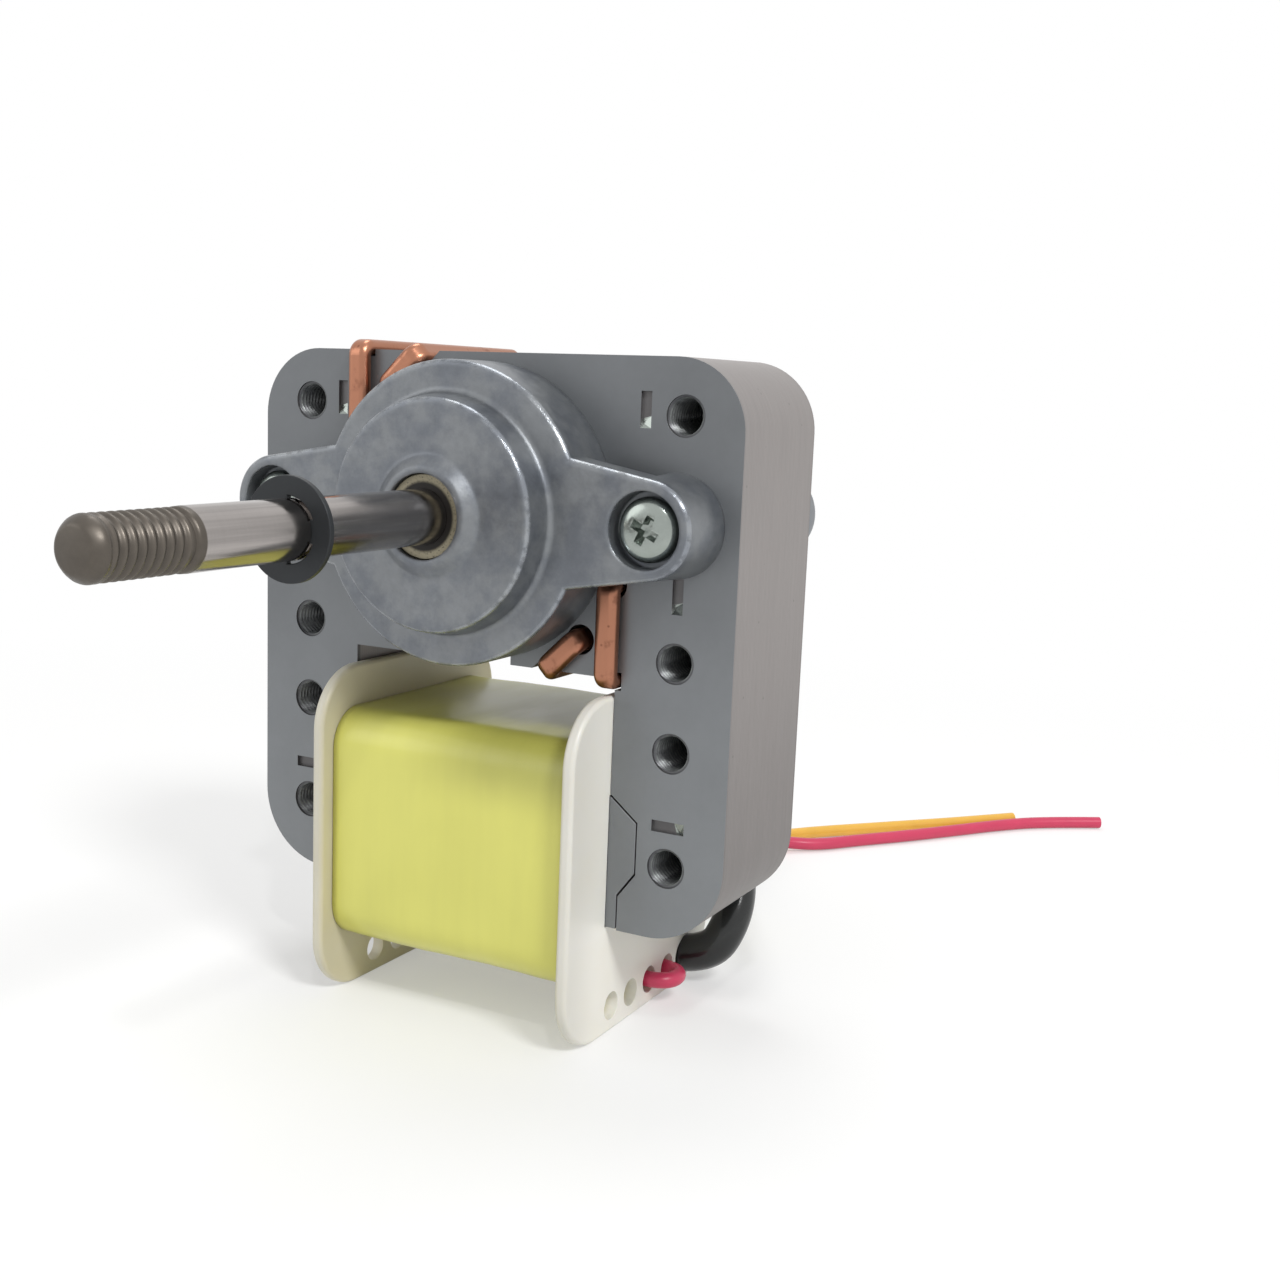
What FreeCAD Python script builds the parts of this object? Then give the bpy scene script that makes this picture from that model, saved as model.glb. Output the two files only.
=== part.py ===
"""Shaded-pole condenser fan motor, modelled about its shaft.

Every piece is drawn in the motor's own coordinates: the shaft is the Y axis, y = 0 is the front
face of the lamination stack, +Y runs into the stack and +Z is up.  A common placement then lifts
the motor so that its bobbin flanges stand on z = 0 and centres it over the origin.
"""
import FreeCAD, Part
import math
import os
import re
import Sketcher
from FreeCAD import Placement, Rotation, Vector

SIZES = [
    # lamination stack
    ("stack_len", 26.5, "thickness of the stack"),
    ("window_w", 46.8, "width of the coil window"),
    ("window_tall", 17.7, "poles to yoke"),
    ("leg_w", 18.6, "width of the stack's legs"),
    ("top_iron", 4.35, "iron above the bore"),
    ("pole_iron", 3.75, "iron between bore and coil window"),
    ("top_corner", 10.5, "radius of the upper corners"),
    ("low_corner", 12.0, "radius of the lower corners"),
    ("pole_gap", 5.4, "opening between the pole tips"),
    ("pole_gap_x", 2.7, "middle of that opening"),
    ("tap_hole", 3.0, "radius of the tapped mounting holes"),
    ("tap_in", 9.5, "mounting holes from the window's side"),
    ("tap_down", 8.2, "top row below the top edge"),
    ("tap_row2", 19.7, "second row below the axis"),
    ("tap_pitch", 13.2, "second row to third"),
    ("tap_pitch_low", 17.2, "third row to fourth"),
    ("dimple_len", 5.2, "length of an interlock dimple"),
    ("dimple_w", 1.7, "width of an interlock dimple"),
    ("dimple_deep", 0.6, "depth of an interlock dimple"),
    ("dimple_in", 3.3, "upper dimples from the window's side"),
    ("dimple_down", 7.5, "upper dimples below the top edge"),
    ("dimple_row2", 10.0, "middle dimples below the axis"),
    ("dimple_row3", 43.9, "lower dimples below the axis"),
    # straight yoke and its keys
    ("yoke_tall", 20.2, "height of the yoke"),
    ("key_reach", 4.4, "reach of the keys into the legs"),
    ("key_down", 3.5, "top of the yoke to the upper corner of the keys"),
    ("key_tall", 7.6, "height of the keys at their tips"),
    ("heel_step", 1.6, "reach of the yoke's heel into the legs"),
    ("heel_down", 3.8, "lower corner of the keys to the heel"),
    ("seam", 0.2, "joint line between yoke and legs"),
    # bobbin, winding and tape
    ("flange_play", 0.1, "clearance of the flanges in the window"),
    ("flange_wall", 2.0, "thickness of the flanges"),
    ("flange_front", 11.5, "front edge of the flanges before the stack"),
    ("flange_gap", 2.6, "poles to the top edge of the flanges"),
    ("flange_foot", 9.0, "coil to the bottom edge, which the motor stands on"),
    ("flange_corner", 9.5, "corner radius of the flanges"),
    ("flange_edge", 0.7, "rounding of the flange edges"),
    ("tube_wall", 1.2, "wall of the bobbin tube"),
    ("tube_gap", 0.15, "clearance of the yoke in the bobbin"),
    ("coil_front", 9.0, "front of the taped coil before the stack"),
    ("coil_build", 8.7, "depth of the taped coil above and below the yoke"),
    ("coil_corner", 6.0, "corner radius of the taped coil"),
    ("coil_side", 0.15, "clearance between coil and flanges"),
    ("tape_thick", 0.4, "thickness of the tape wrap"),
    ("eyelet_r", 2.2, "radius of the lead holes in the flanges"),
    ("eyelet_pitch", 6.5, "spacing of the lead holes"),
    ("eyelet_first", 3.0, "first lead hole behind the stack's front face"),
    ("eyelet_up", 4.2, "lead holes above the bottom edge"),
    # shading rings
    ("ring_w", 3.6, "width of the copper strap"),
    ("ring_thick", 2.4, "thickness of the copper strap"),
    ("ring_edge", 1.15, "rounding of the strap"),
    ("ring_bend", 1.35, "bend radius on the strap's middle line"),
    ("ring_gap", 0.12, "clearance of the rings to the stack"),
    ("ring_sink", 1.0, "rings let into the edges of the iron"),
    ("ring_hole", 2.25, "radius of the ring holes in the poles"),
    ("outer_in", 5.06, "hole of the outer ring from the bore"),
    ("outer_turn", 22.24, "hole of the outer ring below the axis, in degrees"),
    ("inner_in", 5.64, "hole of the inner ring from the bore"),
    ("inner_turn", 45.65, "hole of the inner ring below the axis, in degrees"),
    ("inner_tilt", 46.0, "slant of the inner ring in degrees"),
    ("inner_len", 7.0, "hole to outer leg of the inner ring"),
    # end brackets
    ("cast_wall", 2.5, "wall of the castings"),
    ("cast_round", 0.8, "rounding of the castings' edges"),
    ("rotor_room", 0.9, "rotor to the inside of the skirt"),
    ("dome_over", 3.3, "middle of the bearing to the face of the dome"),
    ("dome_rise", 4.7, "face of the skirt to the face of the dome"),
    ("dome_slope", 0.8, "taper of the dome"),
    ("boss_over", 0.8, "lip of the boss before the bearing"),
    ("boss_lip", 0.9, "width of the boss's lip"),
    ("boss_slope", 1.8, "taper of the boss"),
    ("mouth_lip", 1.0, "lip that holds the bearing"),
    ("cap_wall", 1.3, "closed end of the rear boss behind the bearing"),
    ("ear_in", 8.8, "bracket screws from the window's side"),
    ("ear_r", 7.0, "end radius of the ears"),
    ("ear_foot", 7.5, "radius of the ear posts at the stack"),
    ("ear_wall", 5.0, "thickness of the ear webs"),
    ("ear_root_in", 2.5, "where the ear flanks meet the skirt, inside its face"),
    ("ear_root_z", 9.3, "half width of the ears there"),
    # bracket screws
    ("screw_r", 2.4, "radius of the bracket screws"),
    ("screw_play", 0.25, "clearance of the screws in plain holes"),
    ("screw_thread", 0.05, "clearance of the screws in tapped holes"),
    ("screw_bite", 8.9, "reach of the screws into the rear bracket"),
    ("head_r", 4.6, "radius of the pan head"),
    ("head_tall", 3.0, "height of the pan head"),
    ("head_play", 0.85, "head to the wall of the counterbore"),
    ("sink_floor", 7.2, "floor of the counterbore before the stack"),
    ("cross_len", 5.2, "span of the cross recess"),
    ("cross_w", 1.0, "width of the cross recess"),
    ("cross_deep", 1.8, "depth of the cross recess"),
    # bearings and what seats them
    ("ball_r", 7.2, "radius of the self-aligning bearings"),
    ("ball_deep", 11.9, "middle of the bearing before the stack"),
    ("ball_len", 8.0, "length of the bearings"),
    ("seat_play", 0.05, "clearance between bearing and seat"),
    ("run_play", 0.03, "running clearance of the shaft"),
    ("cup_under", 0.9, "middle of the bearing to the bottom of the felt cup"),
    ("cup_tall", 4.4, "depth of the felt cup"),
    ("cup_wall", 2.0, "wall of the felt cup"),
    ("cup_moat", 0.7, "felt cup to the dome's wall"),
    ("felt_play", 0.3, "bearing to the oil felt"),
    ("felt_thick", 1.9, "thickness of the oil felt"),
    ("spring_thick", 0.5, "thickness of the spring retainer"),
    ("spring_bite", 0.45, "reach of the retainer over the bearing"),
    ("spring_over", 0.8, "oil felt to the retainer's rim"),
    ("spring_rim", 2.3, "width of the retainer's rim"),
    ("finger_len", 2.55, "length of the retainer's fingers"),
    ("finger_slot", 1.2, "slots between the retainer's fingers"),
    ("fit_gap", 0.02, "gap between parts pressed together"),
    # rotor
    ("rotor_r", 18.9, "radius of the rotor core"),
    ("air_gap", 0.35, "gap between rotor and poles"),
    ("rotor_inset", 0.3, "rotor core inside the stack at each end"),
    ("bar_r", 1.25, "radius of the cage bars"),
    ("bar_in", 2.3, "circle of bars inside the rotor's face"),
    ("end_ring_step", 0.6, "end rings inside the rotor's face"),
    ("end_ring_w", 6.8, "width of the end rings"),
    ("end_ring_tall", 4.0, "height of the end rings"),
    ("washer_w", 1.53, "width of thrust washers and spacers"),
    ("washer_thick", 0.5, "thickness of the thrust washers"),
    ("end_play", 0.15, "axial play at each bearing"),
    # shaft and clip
    ("shaft_r", 3.97, "radius of the shaft"),
    ("shaft_reach", 81.0, "shaft tip before the stack"),
    ("tail_short", 0.7, "shaft end inside the rear bearing"),
    ("thread_len", 15.7, "length of the thread"),
    ("thread_under", 0.07, "thread inside the shaft's face"),
    ("relief_len", 1.0, "relief behind the thread"),
    ("relief_step", 0.45, "depth of the relief"),
    ("tip_bevel", 1.2, "bevel at the shaft's tip"),
    ("clip_at", 45.4, "middle of the clip before the stack"),
    ("clip_thick", 0.9, "thickness of the clip"),
    ("clip_space", 0.35, "shaft to the clip's bow"),
    ("clip_bow", 2.55, "width of the clip's bow"),
    ("groove_deep", 0.47, "depth of the clip groove"),
    ("clip_play", 0.05, "clearance of the clip in its groove"),
    ("clip_lobe", 3.0, "width of the clip's lobes"),
    ("clip_grip", 0.77, "clip mouth narrower than the shaft, each side"),
    # leads
    ("lead_r", 1.3, "radius of the leads"),
    ("lead_step", 1.36, "each lead from the middle of the sleeve"),
    ("sleeve_r", 3.15, "outer radius of the sleeve"),
    ("sleeve_in", 2.85, "inner radius of the sleeve"),
    ("lay_gap", 0.1, "what lies on the floor above it"),
]
# What fits or lines up takes its size from the sizes above, in millimetres from the shaft's axis.
FITTED = [
    ("bore_r", "rotor_r + air_gap", "radius of the bore"),
    ("frame_w", "window_w + 2 * leg_w", "width of the stack"),
    ("frame_top", "bore_r + top_iron", "top edge of the stack"),
    ("window_top", "bore_r + pole_iron", "lower edge of the poles"),
    ("yoke_top", "window_top + window_tall", "top of the yoke"),
    ("yoke_low", "yoke_top + yoke_tall", "bottom of the yoke"),
    ("frame_low", "yoke_low + seam", "bottom edge of the stack"),
    ("tap_x", "window_w / 2 + tap_in", "mounting holes"),
    ("tap_row1", "frame_top - tap_down", "top row"),
    ("tap_row3", "tap_row2 + tap_pitch", "third row"),
    ("tap_row4", "tap_row3 + tap_pitch_low", "fourth row"),
    ("key_x", "window_w / 2 + key_reach", "tips of the keys"),
    ("key_top", "yoke_top + key_down", "upper corner of the keys"),
    ("key_low", "key_top + key_tall", "lower corner of the keys"),
    ("heel_x", "window_w / 2 + heel_step", "heel of the yoke"),
    ("heel_z", "key_low + heel_down", "top of the heel"),
    ("flange_out", "window_w / 2 - flange_play", "outer face of the flanges"),
    ("flange_top", "window_top + flange_gap", "top edge of the flanges"),
    ("coil_high", "yoke_tall / 2 + coil_build", "half height of the taped coil"),
    ("base_drop", "(yoke_top + yoke_low) / 2 + coil_high + flange_foot", "the floor"),
    ("eyelet_drop", "base_drop - eyelet_up", "lead holes"),
    ("outer_x", "(bore_r + outer_in) * cos(outer_turn)", "outer ring's hole, across"),
    ("outer_z", "(bore_r + outer_in) * sin(outer_turn)", "outer ring's hole, below"),
    ("inner_x", "(bore_r + inner_in) * cos(inner_turn)", "inner ring's hole, across"),
    ("inner_z", "(bore_r + inner_in) * sin(inner_turn)", "inner ring's hole, below"),
    ("cavity_r", "rotor_r + rotor_room", "inside of the skirt"),
    ("wall_r", "cavity_r + cast_wall", "outside of the skirt"),
    ("spring_lip", "ball_r - spring_bite", "inside of the spring retainer"),
    ("spring_flat", "spring_lip + finger_len", "where its fingers begin"),
    ("cup_r", "spring_flat + spring_rim", "inside of the felt cup"),
    ("dome_r", "cup_r + cup_wall + cup_moat + cast_wall", "face of the dome"),
    ("dome_foot", "dome_r + dome_slope", "foot of the dome"),
    ("dome_deep", "ball_deep + dome_over", "face of the dome before the stack"),
    ("skirt_deep", "dome_deep - dome_rise", "face of skirt and ears before the stack"),
    ("mouth_r", "ball_r - mouth_lip", "bearing mouth"),
    ("boss_r", "mouth_r + boss_lip", "lip of the boss"),
    ("boss_foot", "boss_r + boss_slope", "foot of the boss"),
    ("boss_deep", "ball_deep + ball_len / 2 + boss_over", "lip of the boss before the stack"),
    ("cap_deep", "ball_deep + ball_len / 2 + cap_wall", "closed end behind the stack"),
    ("ear_x", "window_w / 2 + ear_in", "bracket screws"),
    ("ear_root_x", "wall_r - ear_root_in", "foot of the ear flanks"),
    ("screw_len", "sink_floor + stack_len + screw_bite", "screws under the head"),
    ("sink_r", "head_r + head_play", "counterbore"),
    ("cup_deep", "ball_deep - cup_under", "bottom of the felt cup before the stack"),
    ("cup_lip", "cup_deep - cup_tall", "inner end of the felt cup"),
    ("felt_in", "ball_r + felt_play", "inside of the oil felt"),
    ("spring_deep", "cup_deep - felt_thick - spring_over", "the retainer's rim"),
    ("bar_circle", "rotor_r - bar_in", "circle of bars"),
    ("end_ring_out", "rotor_r - end_ring_step", "outside of the end rings"),
    ("end_ring_in", "end_ring_out - end_ring_w", "inside of the end rings"),
    ("washer_r", "shaft_r + washer_w", "outside of washers and spacers"),
    ("shaft_tail", "ball_deep + ball_len / 2 - tail_short", "shaft end behind the stack"),
    ("thread_r", "shaft_r - thread_under", "outside of the thread"),
    ("relief_r", "thread_r - relief_step", "bottom of the relief"),
    ("clip_groove", "shaft_r - groove_deep", "bottom of the clip groove"),
    ("clip_ring", "shaft_r + clip_space", "inside of the clip's bow"),
    ("clip_r", "clip_ring + clip_bow", "outside of the clip"),
    ("clip_mouth", "2 * (shaft_r - clip_grip)", "opening of the clip"),
]
CAGE_BARS = 18
SPRING_FINGERS = 8
EYELETS = 4

FRONT_Y = "(shaft_reach - stack_len - cap_deep) / 2"
HOUSING = {"x": "0", "y": FRONT_Y, "z": "base_drop"}
BEHIND = {"x": "0", "y": FRONT_Y + " + stack_len", "z": "base_drop"}

doc = FreeCAD.newDocument("FanMotor")
sheet = doc.addObject("Spreadsheet::Sheet", "Sizes")
for row, (alias, content, note) in enumerate(SIZES + FITTED, start=1):
    sheet.set(f"A{row}", note)
    sheet.set(f"B{row}", f"={content}")
    sheet.setAlias(f"B{row}", alias)
doc.recompute()
ALIASES = {alias for alias, content, note in SIZES + FITTED}


def tied(expression):
    """The expression with each alias written as a reference to the sheet."""
    return re.sub(r"[a-z_][a-z0-9_]*", lambda word: "Sizes." + word.group()
                  if word.group() in ALIASES else word.group(), expression)


def size(expression):
    """The expression's value in millimetres or degrees."""
    return float(sheet.evalExpression(expression))


def bind(thing, **expressions):
    """Tie properties to the sheet; a double underscore stands for a dot."""
    for path, expression in expressions.items():
        thing.setExpression(path.replace("__", "."), tied(expression))
    return thing


def place(thing, where, turn=None):
    """Lift a finished piece from the motor's coordinates to where it stands."""
    if turn:
        thing.Placement = Placement(Vector(), turn)
    bind(thing, **{"Placement__Base__" + axis: where[axis] for axis in "xyz"})
    return thing


# Sketches

def body(name):
    piece = doc.addObject("PartDesign::Body", name)
    piece.Label = name
    return piece


def sketch(piece, name, plane, offset=None):
    drawing = piece.newObject("Sketcher::SketchObject", name)
    support = next(f for f in piece.Origin.OriginFeatures if f.Role == plane)
    drawing.AttachmentSupport = [(support, "")]
    drawing.MapMode = "FlatFace"
    if offset:
        bind(drawing, AttachmentOffset__Base__z=offset)
    return drawing


def pin(drawing, geometry, vertex, x, y):
    """Hold a vertex at two expressions, measured from the sketch's origin."""
    for kind, expression in (("DistanceX", x), ("DistanceY", y)):
        index = drawing.addConstraint(
            Sketcher.Constraint(kind, -1, 1, geometry, vertex, size(expression)))
        drawing.setExpression(f"Constraints[{index}]", tied(expression))


def circle(drawing, x, y, radius):
    centre = Vector(size(x), size(y), 0)
    ring = drawing.addGeometry(Part.Circle(centre, Vector(0, 0, 1), size(radius)), False)
    pin(drawing, ring, 3, x, y)
    index = drawing.addConstraint(Sketcher.Constraint("Radius", ring, size(radius)))
    drawing.setExpression(f"Constraints[{index}]", tied(radius))


def outline(drawing, corners):
    """A closed outline; each corner is (x, y) or (x, y, rounding), all expressions."""
    points = [Vector(size(c[0]), size(c[1]), 0) for c in corners]
    count = len(corners)
    starts, ends, arcs = list(points), list(points), {}
    for i, corner in enumerate(corners):
        if len(corner) < 3:
            continue
        radius = size(corner[2])
        back = (points[i - 1] - points[i]).normalize()
        ahead = (points[(i + 1) % count] - points[i]).normalize()
        half = back.getAngle(ahead) / 2
        ends[i] = points[i] + back * (radius / math.tan(half))
        starts[i] = points[i] + ahead * (radius / math.tan(half))
        centre = points[i] + (back + ahead).normalize() * (radius / math.sin(half))
        middle = centre + (points[i] - centre).normalize() * radius
        arcs[i] = Part.Arc(ends[i], middle, starts[i])
    lines = [drawing.addGeometry(Part.LineSegment(starts[i], ends[(i + 1) % count]), False)
             for i in range(count)]
    for i, corner in enumerate(corners):
        before, after = lines[i - 1], lines[i]
        if i not in arcs:
            drawing.addConstraint(Sketcher.Constraint("Coincident", before, 2, after, 1))
            pin(drawing, after, 1, corner[0], corner[1])
            continue
        arc = drawing.addGeometry(arcs[i], False)
        counter = (ends[i] - points[i]).cross(starts[i] - points[i]).z < 0
        first, last = (1, 2) if counter else (2, 1)
        drawing.addConstraint(Sketcher.Constraint("Tangent", before, 2, arc, first))
        drawing.addConstraint(Sketcher.Constraint("Tangent", after, 1, arc, last))
        index = drawing.addConstraint(Sketcher.Constraint("Radius", arc, size(corner[2])))
        drawing.setExpression(f"Constraints[{index}]", tied(corner[2]))
        apex = drawing.addGeometry(Part.Point(points[i]), True)
        drawing.addConstraint(Sketcher.Constraint("PointOnObject", apex, 1, before))
        drawing.addConstraint(Sketcher.Constraint("PointOnObject", apex, 1, after))
        pin(drawing, apex, 1, corner[0], corner[1])


def box_outline(drawing, x, y, width, height, rounding=None):
    """A rectangle about its middle."""
    corners = []
    for sx, sy in ((-1, -1), (1, -1), (1, 1), (-1, 1)):
        corner = (f"{x} + {sx} * ({width}) / 2", f"{y} + {sy} * ({height}) / 2")
        corners.append(corner + (rounding,) if rounding else corner)
    outline(drawing, corners)


# Features

def pad(piece, drawing, length, inward=True, both=False):
    """Inward pads run along +Y into the stack, the others towards the viewer."""
    feature = piece.newObject("PartDesign::Pad", drawing.Name + "Pad")
    feature.Profile = drawing
    feature.Reversed = inward
    feature.Midplane = both
    return bind(feature, Length=length)


def pocket(piece, drawing, length=None, inward=True):
    feature = piece.newObject("PartDesign::Pocket", drawing.Name + "Cut")
    feature.Profile = drawing
    feature.Reversed = not inward
    if length:
        bind(feature, Length=length)
    else:
        feature.Type = "ThroughAll"
    return feature


def turned(piece, drawing, kind="Revolution"):
    """A profile of (y, radius) turned about the shaft."""
    feature = piece.newObject("PartDesign::" + kind, drawing.Name + kind)
    feature.Profile = drawing
    feature.ReferenceAxis = (drawing, ["H_Axis"])
    feature.Angle = 360
    return feature


def ring_profile(piece, name, inner, outer, low, high):
    """A plain ring about the shaft between two stations on Y."""
    drawing = sketch(piece, name, "YZ_Plane")
    outline(drawing, [(low, inner), (high, inner), (high, outer), (low, outer)])
    return turned(piece, drawing)


def plain_ring(name, inner, outer, low, high, where=HOUSING, turn=None):
    piece = body(name)
    ring_profile(piece, name + "_profile", inner, outer, low, high)
    return place(piece, where, turn)


# The lamination stack and the yoke

def ring_slots():
    """Hole, slant and length of each shading ring, with the side that it lies on."""
    outer_len = "window_top + ring_gap + ring_thick / 2 - ring_sink - outer_z"
    rise = " + frame_top - window_top"
    return {
        "lower_outer": ("outer_x", "outer_z", "0", outer_len, 1),
        "lower_inner": ("inner_x", "inner_z", "inner_tilt", "inner_len", 1),
        "upper_outer": ("outer_x", "outer_z", "0", outer_len + rise, -1),
        "upper_inner": ("inner_x", "inner_z", "inner_tilt", "inner_len" + rise, -1),
    }


def stator_core():
    core = body("stator_core")
    half = "frame_w / 2"
    plate = sketch(core, "plate", "XZ_Plane")
    outline(plate, [("-" + half, "-frame_low", "low_corner"), (half, "-frame_low", "low_corner"),
                    (half, "frame_top", "top_corner"), ("-" + half, "frame_top", "top_corner")])
    pad(core, plate, "stack_len")

    window = sketch(core, "window", "XZ_Plane")
    right = [("window_w / 2", "-window_top"), ("window_w / 2", "-yoke_top + 2 * seam"),
             ("key_x + seam", "-key_top + seam"), ("key_x + seam", "-key_low - seam"),
             ("heel_x + seam", "-heel_z - seam"), ("heel_x + seam", "-frame_low - 1")]
    left = [("-(" + x + ")", z) for x, z in reversed(right)]
    outline(window, right + left)
    pocket(core, window)

    bore = sketch(core, "bore", "XZ_Plane")
    circle(bore, "0", "0", "bore_r")
    pocket(core, bore)
    gap = sketch(core, "pole_tips", "XZ_Plane")
    box_outline(gap, "pole_gap_x", "-(rotor_r + window_top) / 2", "pole_gap",
                "window_top - rotor_r + 4")
    pocket(core, gap)

    holes = sketch(core, "holes", "XZ_Plane")
    for side in ("", "-"):
        for height in ("tap_row1", "-tap_row2", "-tap_row3", "-tap_row4"):
            circle(holes, side + "tap_x", height, "tap_hole")
        circle(holes, side + "ear_x", "0", "screw_r + screw_play")
    pocket(core, holes)

    for name, (x, z, tilt, length, side) in ring_slots().items():
        cut = sketch(core, "slot_" + name, "XZ_Plane")
        circle(cut, f"{side} * {x}", f"-{side} * {z}", "ring_hole")
        pocket(core, cut)
        notch = sketch(core, "notch_" + name, "XZ_Plane")
        wide = "(ring_w / 2 + ring_gap)"
        near = f"({length} - ring_thick / 2 - ring_gap)"
        far = f"({length} + 3 * ring_thick)"
        corners = []
        for across, along in ((-1, near), (1, near), (1, far), (-1, far)):
            dx = f"{across} * {wide} * cos({tilt}) - {along} * sin({tilt})"
            dz = f"-{across} * {wide} * sin({tilt}) - {along} * cos({tilt})"
            corners.append((f"{side} * ({x} + {dx})", f"{side} * (-{z} + {dz})"))
        if side > 0 and "outer" in name:
            shallow = f"({length} + ring_thick / 2 + ring_gap)"
            corners = [(x_, z_.replace(far, shallow)) for x_, z_ in corners]
        outline(notch, corners)
        pocket(core, notch)

    dimples = sketch(core, "dimples", "XZ_Plane")
    for side in ("", "-"):
        box_outline(dimples, f"{side}(window_w / 2 + dimple_in)", "frame_top - dimple_down",
                    "dimple_w", "dimple_len")
        box_outline(dimples, side + "tap_x", "-dimple_row2", "dimple_w", "dimple_len")
        box_outline(dimples, side + "tap_x", "-dimple_row3", "dimple_len", "dimple_w")
    pocket(core, dimples, "dimple_deep")
    return place(core, HOUSING)


def yoke_core():
    yoke = body("yoke_core")
    bar = sketch(yoke, "bar", "XZ_Plane")
    right = [("window_w / 2", "-yoke_top"), ("key_x", "-key_top"), ("key_x", "-key_low"),
             ("heel_x", "-heel_z"), ("heel_x", "-yoke_low")]
    left = [("-(" + x + ")", z) for x, z in reversed(right)]
    outline(bar, right + left)
    pad(yoke, bar, "stack_len")
    return place(yoke, HOUSING)


# Bobbin, winding and tape

MID_Y = "stack_len / 2"
MID_Z = "-(yoke_top + yoke_low) / 2"
YOKE_TALL = "(yoke_low - yoke_top)"
FLANGE_IN = "(flange_out - flange_wall)"


def edges_at(shape, axis, values, tolerance=0.01):
    """Names of the edges that lie wholly in a plane across the axis at one of the values."""
    names = []
    for number, edge in enumerate(shape.Edges, start=1):
        low = getattr(edge.BoundBox, axis + "Min")
        high = getattr(edge.BoundBox, axis + "Max")
        if any(abs(low - v) < tolerance and abs(high - v) < tolerance for v in values):
            names.append(f"Edge{number}")
    return names


def rounded(piece, base, names, radius):
    feature = piece.newObject("PartDesign::Fillet", base.Name + "Round")
    feature.Base = (base, names)
    return bind(feature, Radius=radius)


def bobbin():
    former = body("bobbin")
    for side, name in ((1, "right"), (-1, "left")):
        face = sketch(former, name + "_flange", "YZ_Plane",
                      f"{side} * (flange_out - flange_wall / 2)")
        box_outline(face, MID_Y, "-(flange_top + base_drop) / 2",
                    "stack_len + 2 * flange_front", "base_drop - flange_top", "flange_corner")
        pad(former, face, "flange_wall", both=True)
    doc.recompute()
    tip = former.Tip
    rims = edges_at(tip.Shape, "X", [s * size(v) for s in (1, -1)
                                     for v in ("flange_out", FLANGE_IN)])
    rounded(former, tip, rims, "flange_edge")
    tube = sketch(former, "tube", "YZ_Plane")
    box_outline(tube, MID_Y, MID_Z, "stack_len + 2 * (tube_gap + tube_wall)",
                YOKE_TALL + " + 2 * (tube_gap + tube_wall)", "tube_wall")
    pad(former, tube, "2 * flange_out - flange_wall", both=True)
    bore = sketch(former, "yoke_way", "YZ_Plane")
    box_outline(bore, MID_Y, MID_Z, "stack_len + 2 * tube_gap", YOKE_TALL + " + 2 * tube_gap")
    through = pocket(former, bore)
    through.Midplane = True
    eyelets = sketch(former, "eyelets", "YZ_Plane")
    for number in range(EYELETS):
        circle(eyelets, f"eyelet_first + {number} * eyelet_pitch", "-eyelet_drop", "eyelet_r")
    circle(eyelets, f"eyelet_first + {EYELETS} * eyelet_pitch", "-eyelet_drop",
           "sleeve_r + 2 * lay_gap")
    pocket(former, eyelets).Midplane = True
    return place(former, HOUSING)


def wound_ring(name, inset, inner_y, inner_z, inner_corner):
    """A rounded tube about the yoke, between the flanges."""
    ring = body(name)
    outer = sketch(ring, name + "_outside", "YZ_Plane")
    box_outline(outer, MID_Y, MID_Z, f"stack_len + 2 * (coil_front - {inset})",
                f"2 * (coil_high - {inset})", f"coil_corner - {inset}")
    pad(ring, outer, f"2 * ({FLANGE_IN} - coil_side)", both=True)
    inner = sketch(ring, name + "_inside", "YZ_Plane")
    box_outline(inner, MID_Y, MID_Z, inner_y, inner_z, inner_corner)
    pocket(ring, inner).Midplane = True
    return place(ring, HOUSING)


def coil_and_tape():
    core_play = "2 * (tube_gap + tube_wall + coil_side)"
    coil = wound_ring("coil_winding", "(tape_thick + fit_gap)", "stack_len + " + core_play,
                      YOKE_TALL + " + " + core_play, "tube_wall")
    tape = wound_ring("tape_wrap", "0", "stack_len + 2 * (coil_front - tape_thick)",
                      "2 * (coil_high - tape_thick)", "coil_corner - tape_thick")
    return coil, tape


# Shading rings

def shading_ring(name, x, z, tilt, length, side):
    """A closed copper loop: one leg in the pole's hole, the other round the pole's edge."""
    ring = body("shading_ring_" + name)
    path = sketch(ring, "loop_" + name, "YZ_Plane")
    box_outline(path, MID_Y, f"-({length}) / 2", "stack_len + ring_thick + 2 * ring_gap",
                length, "ring_bend")
    strap = sketch(ring, "strap_" + name, "XY_Plane", f"-({length}) / 2")
    box_outline(strap, "0", "-ring_thick / 2 - ring_gap", "ring_w", "ring_thick", "ring_edge")
    sweep = ring.newObject("PartDesign::AdditivePipe", "bent_" + name)
    sweep.Profile = strap
    sweep.Spine = path
    turn = Rotation(Vector(0, 1, 0), size(tilt) + (0 if side > 0 else 180))
    where = {"x": f"{side} * {x}", "y": FRONT_Y, "z": f"base_drop - {side} * {z}"}
    return place(ring, where, turn)


# End brackets

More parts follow.
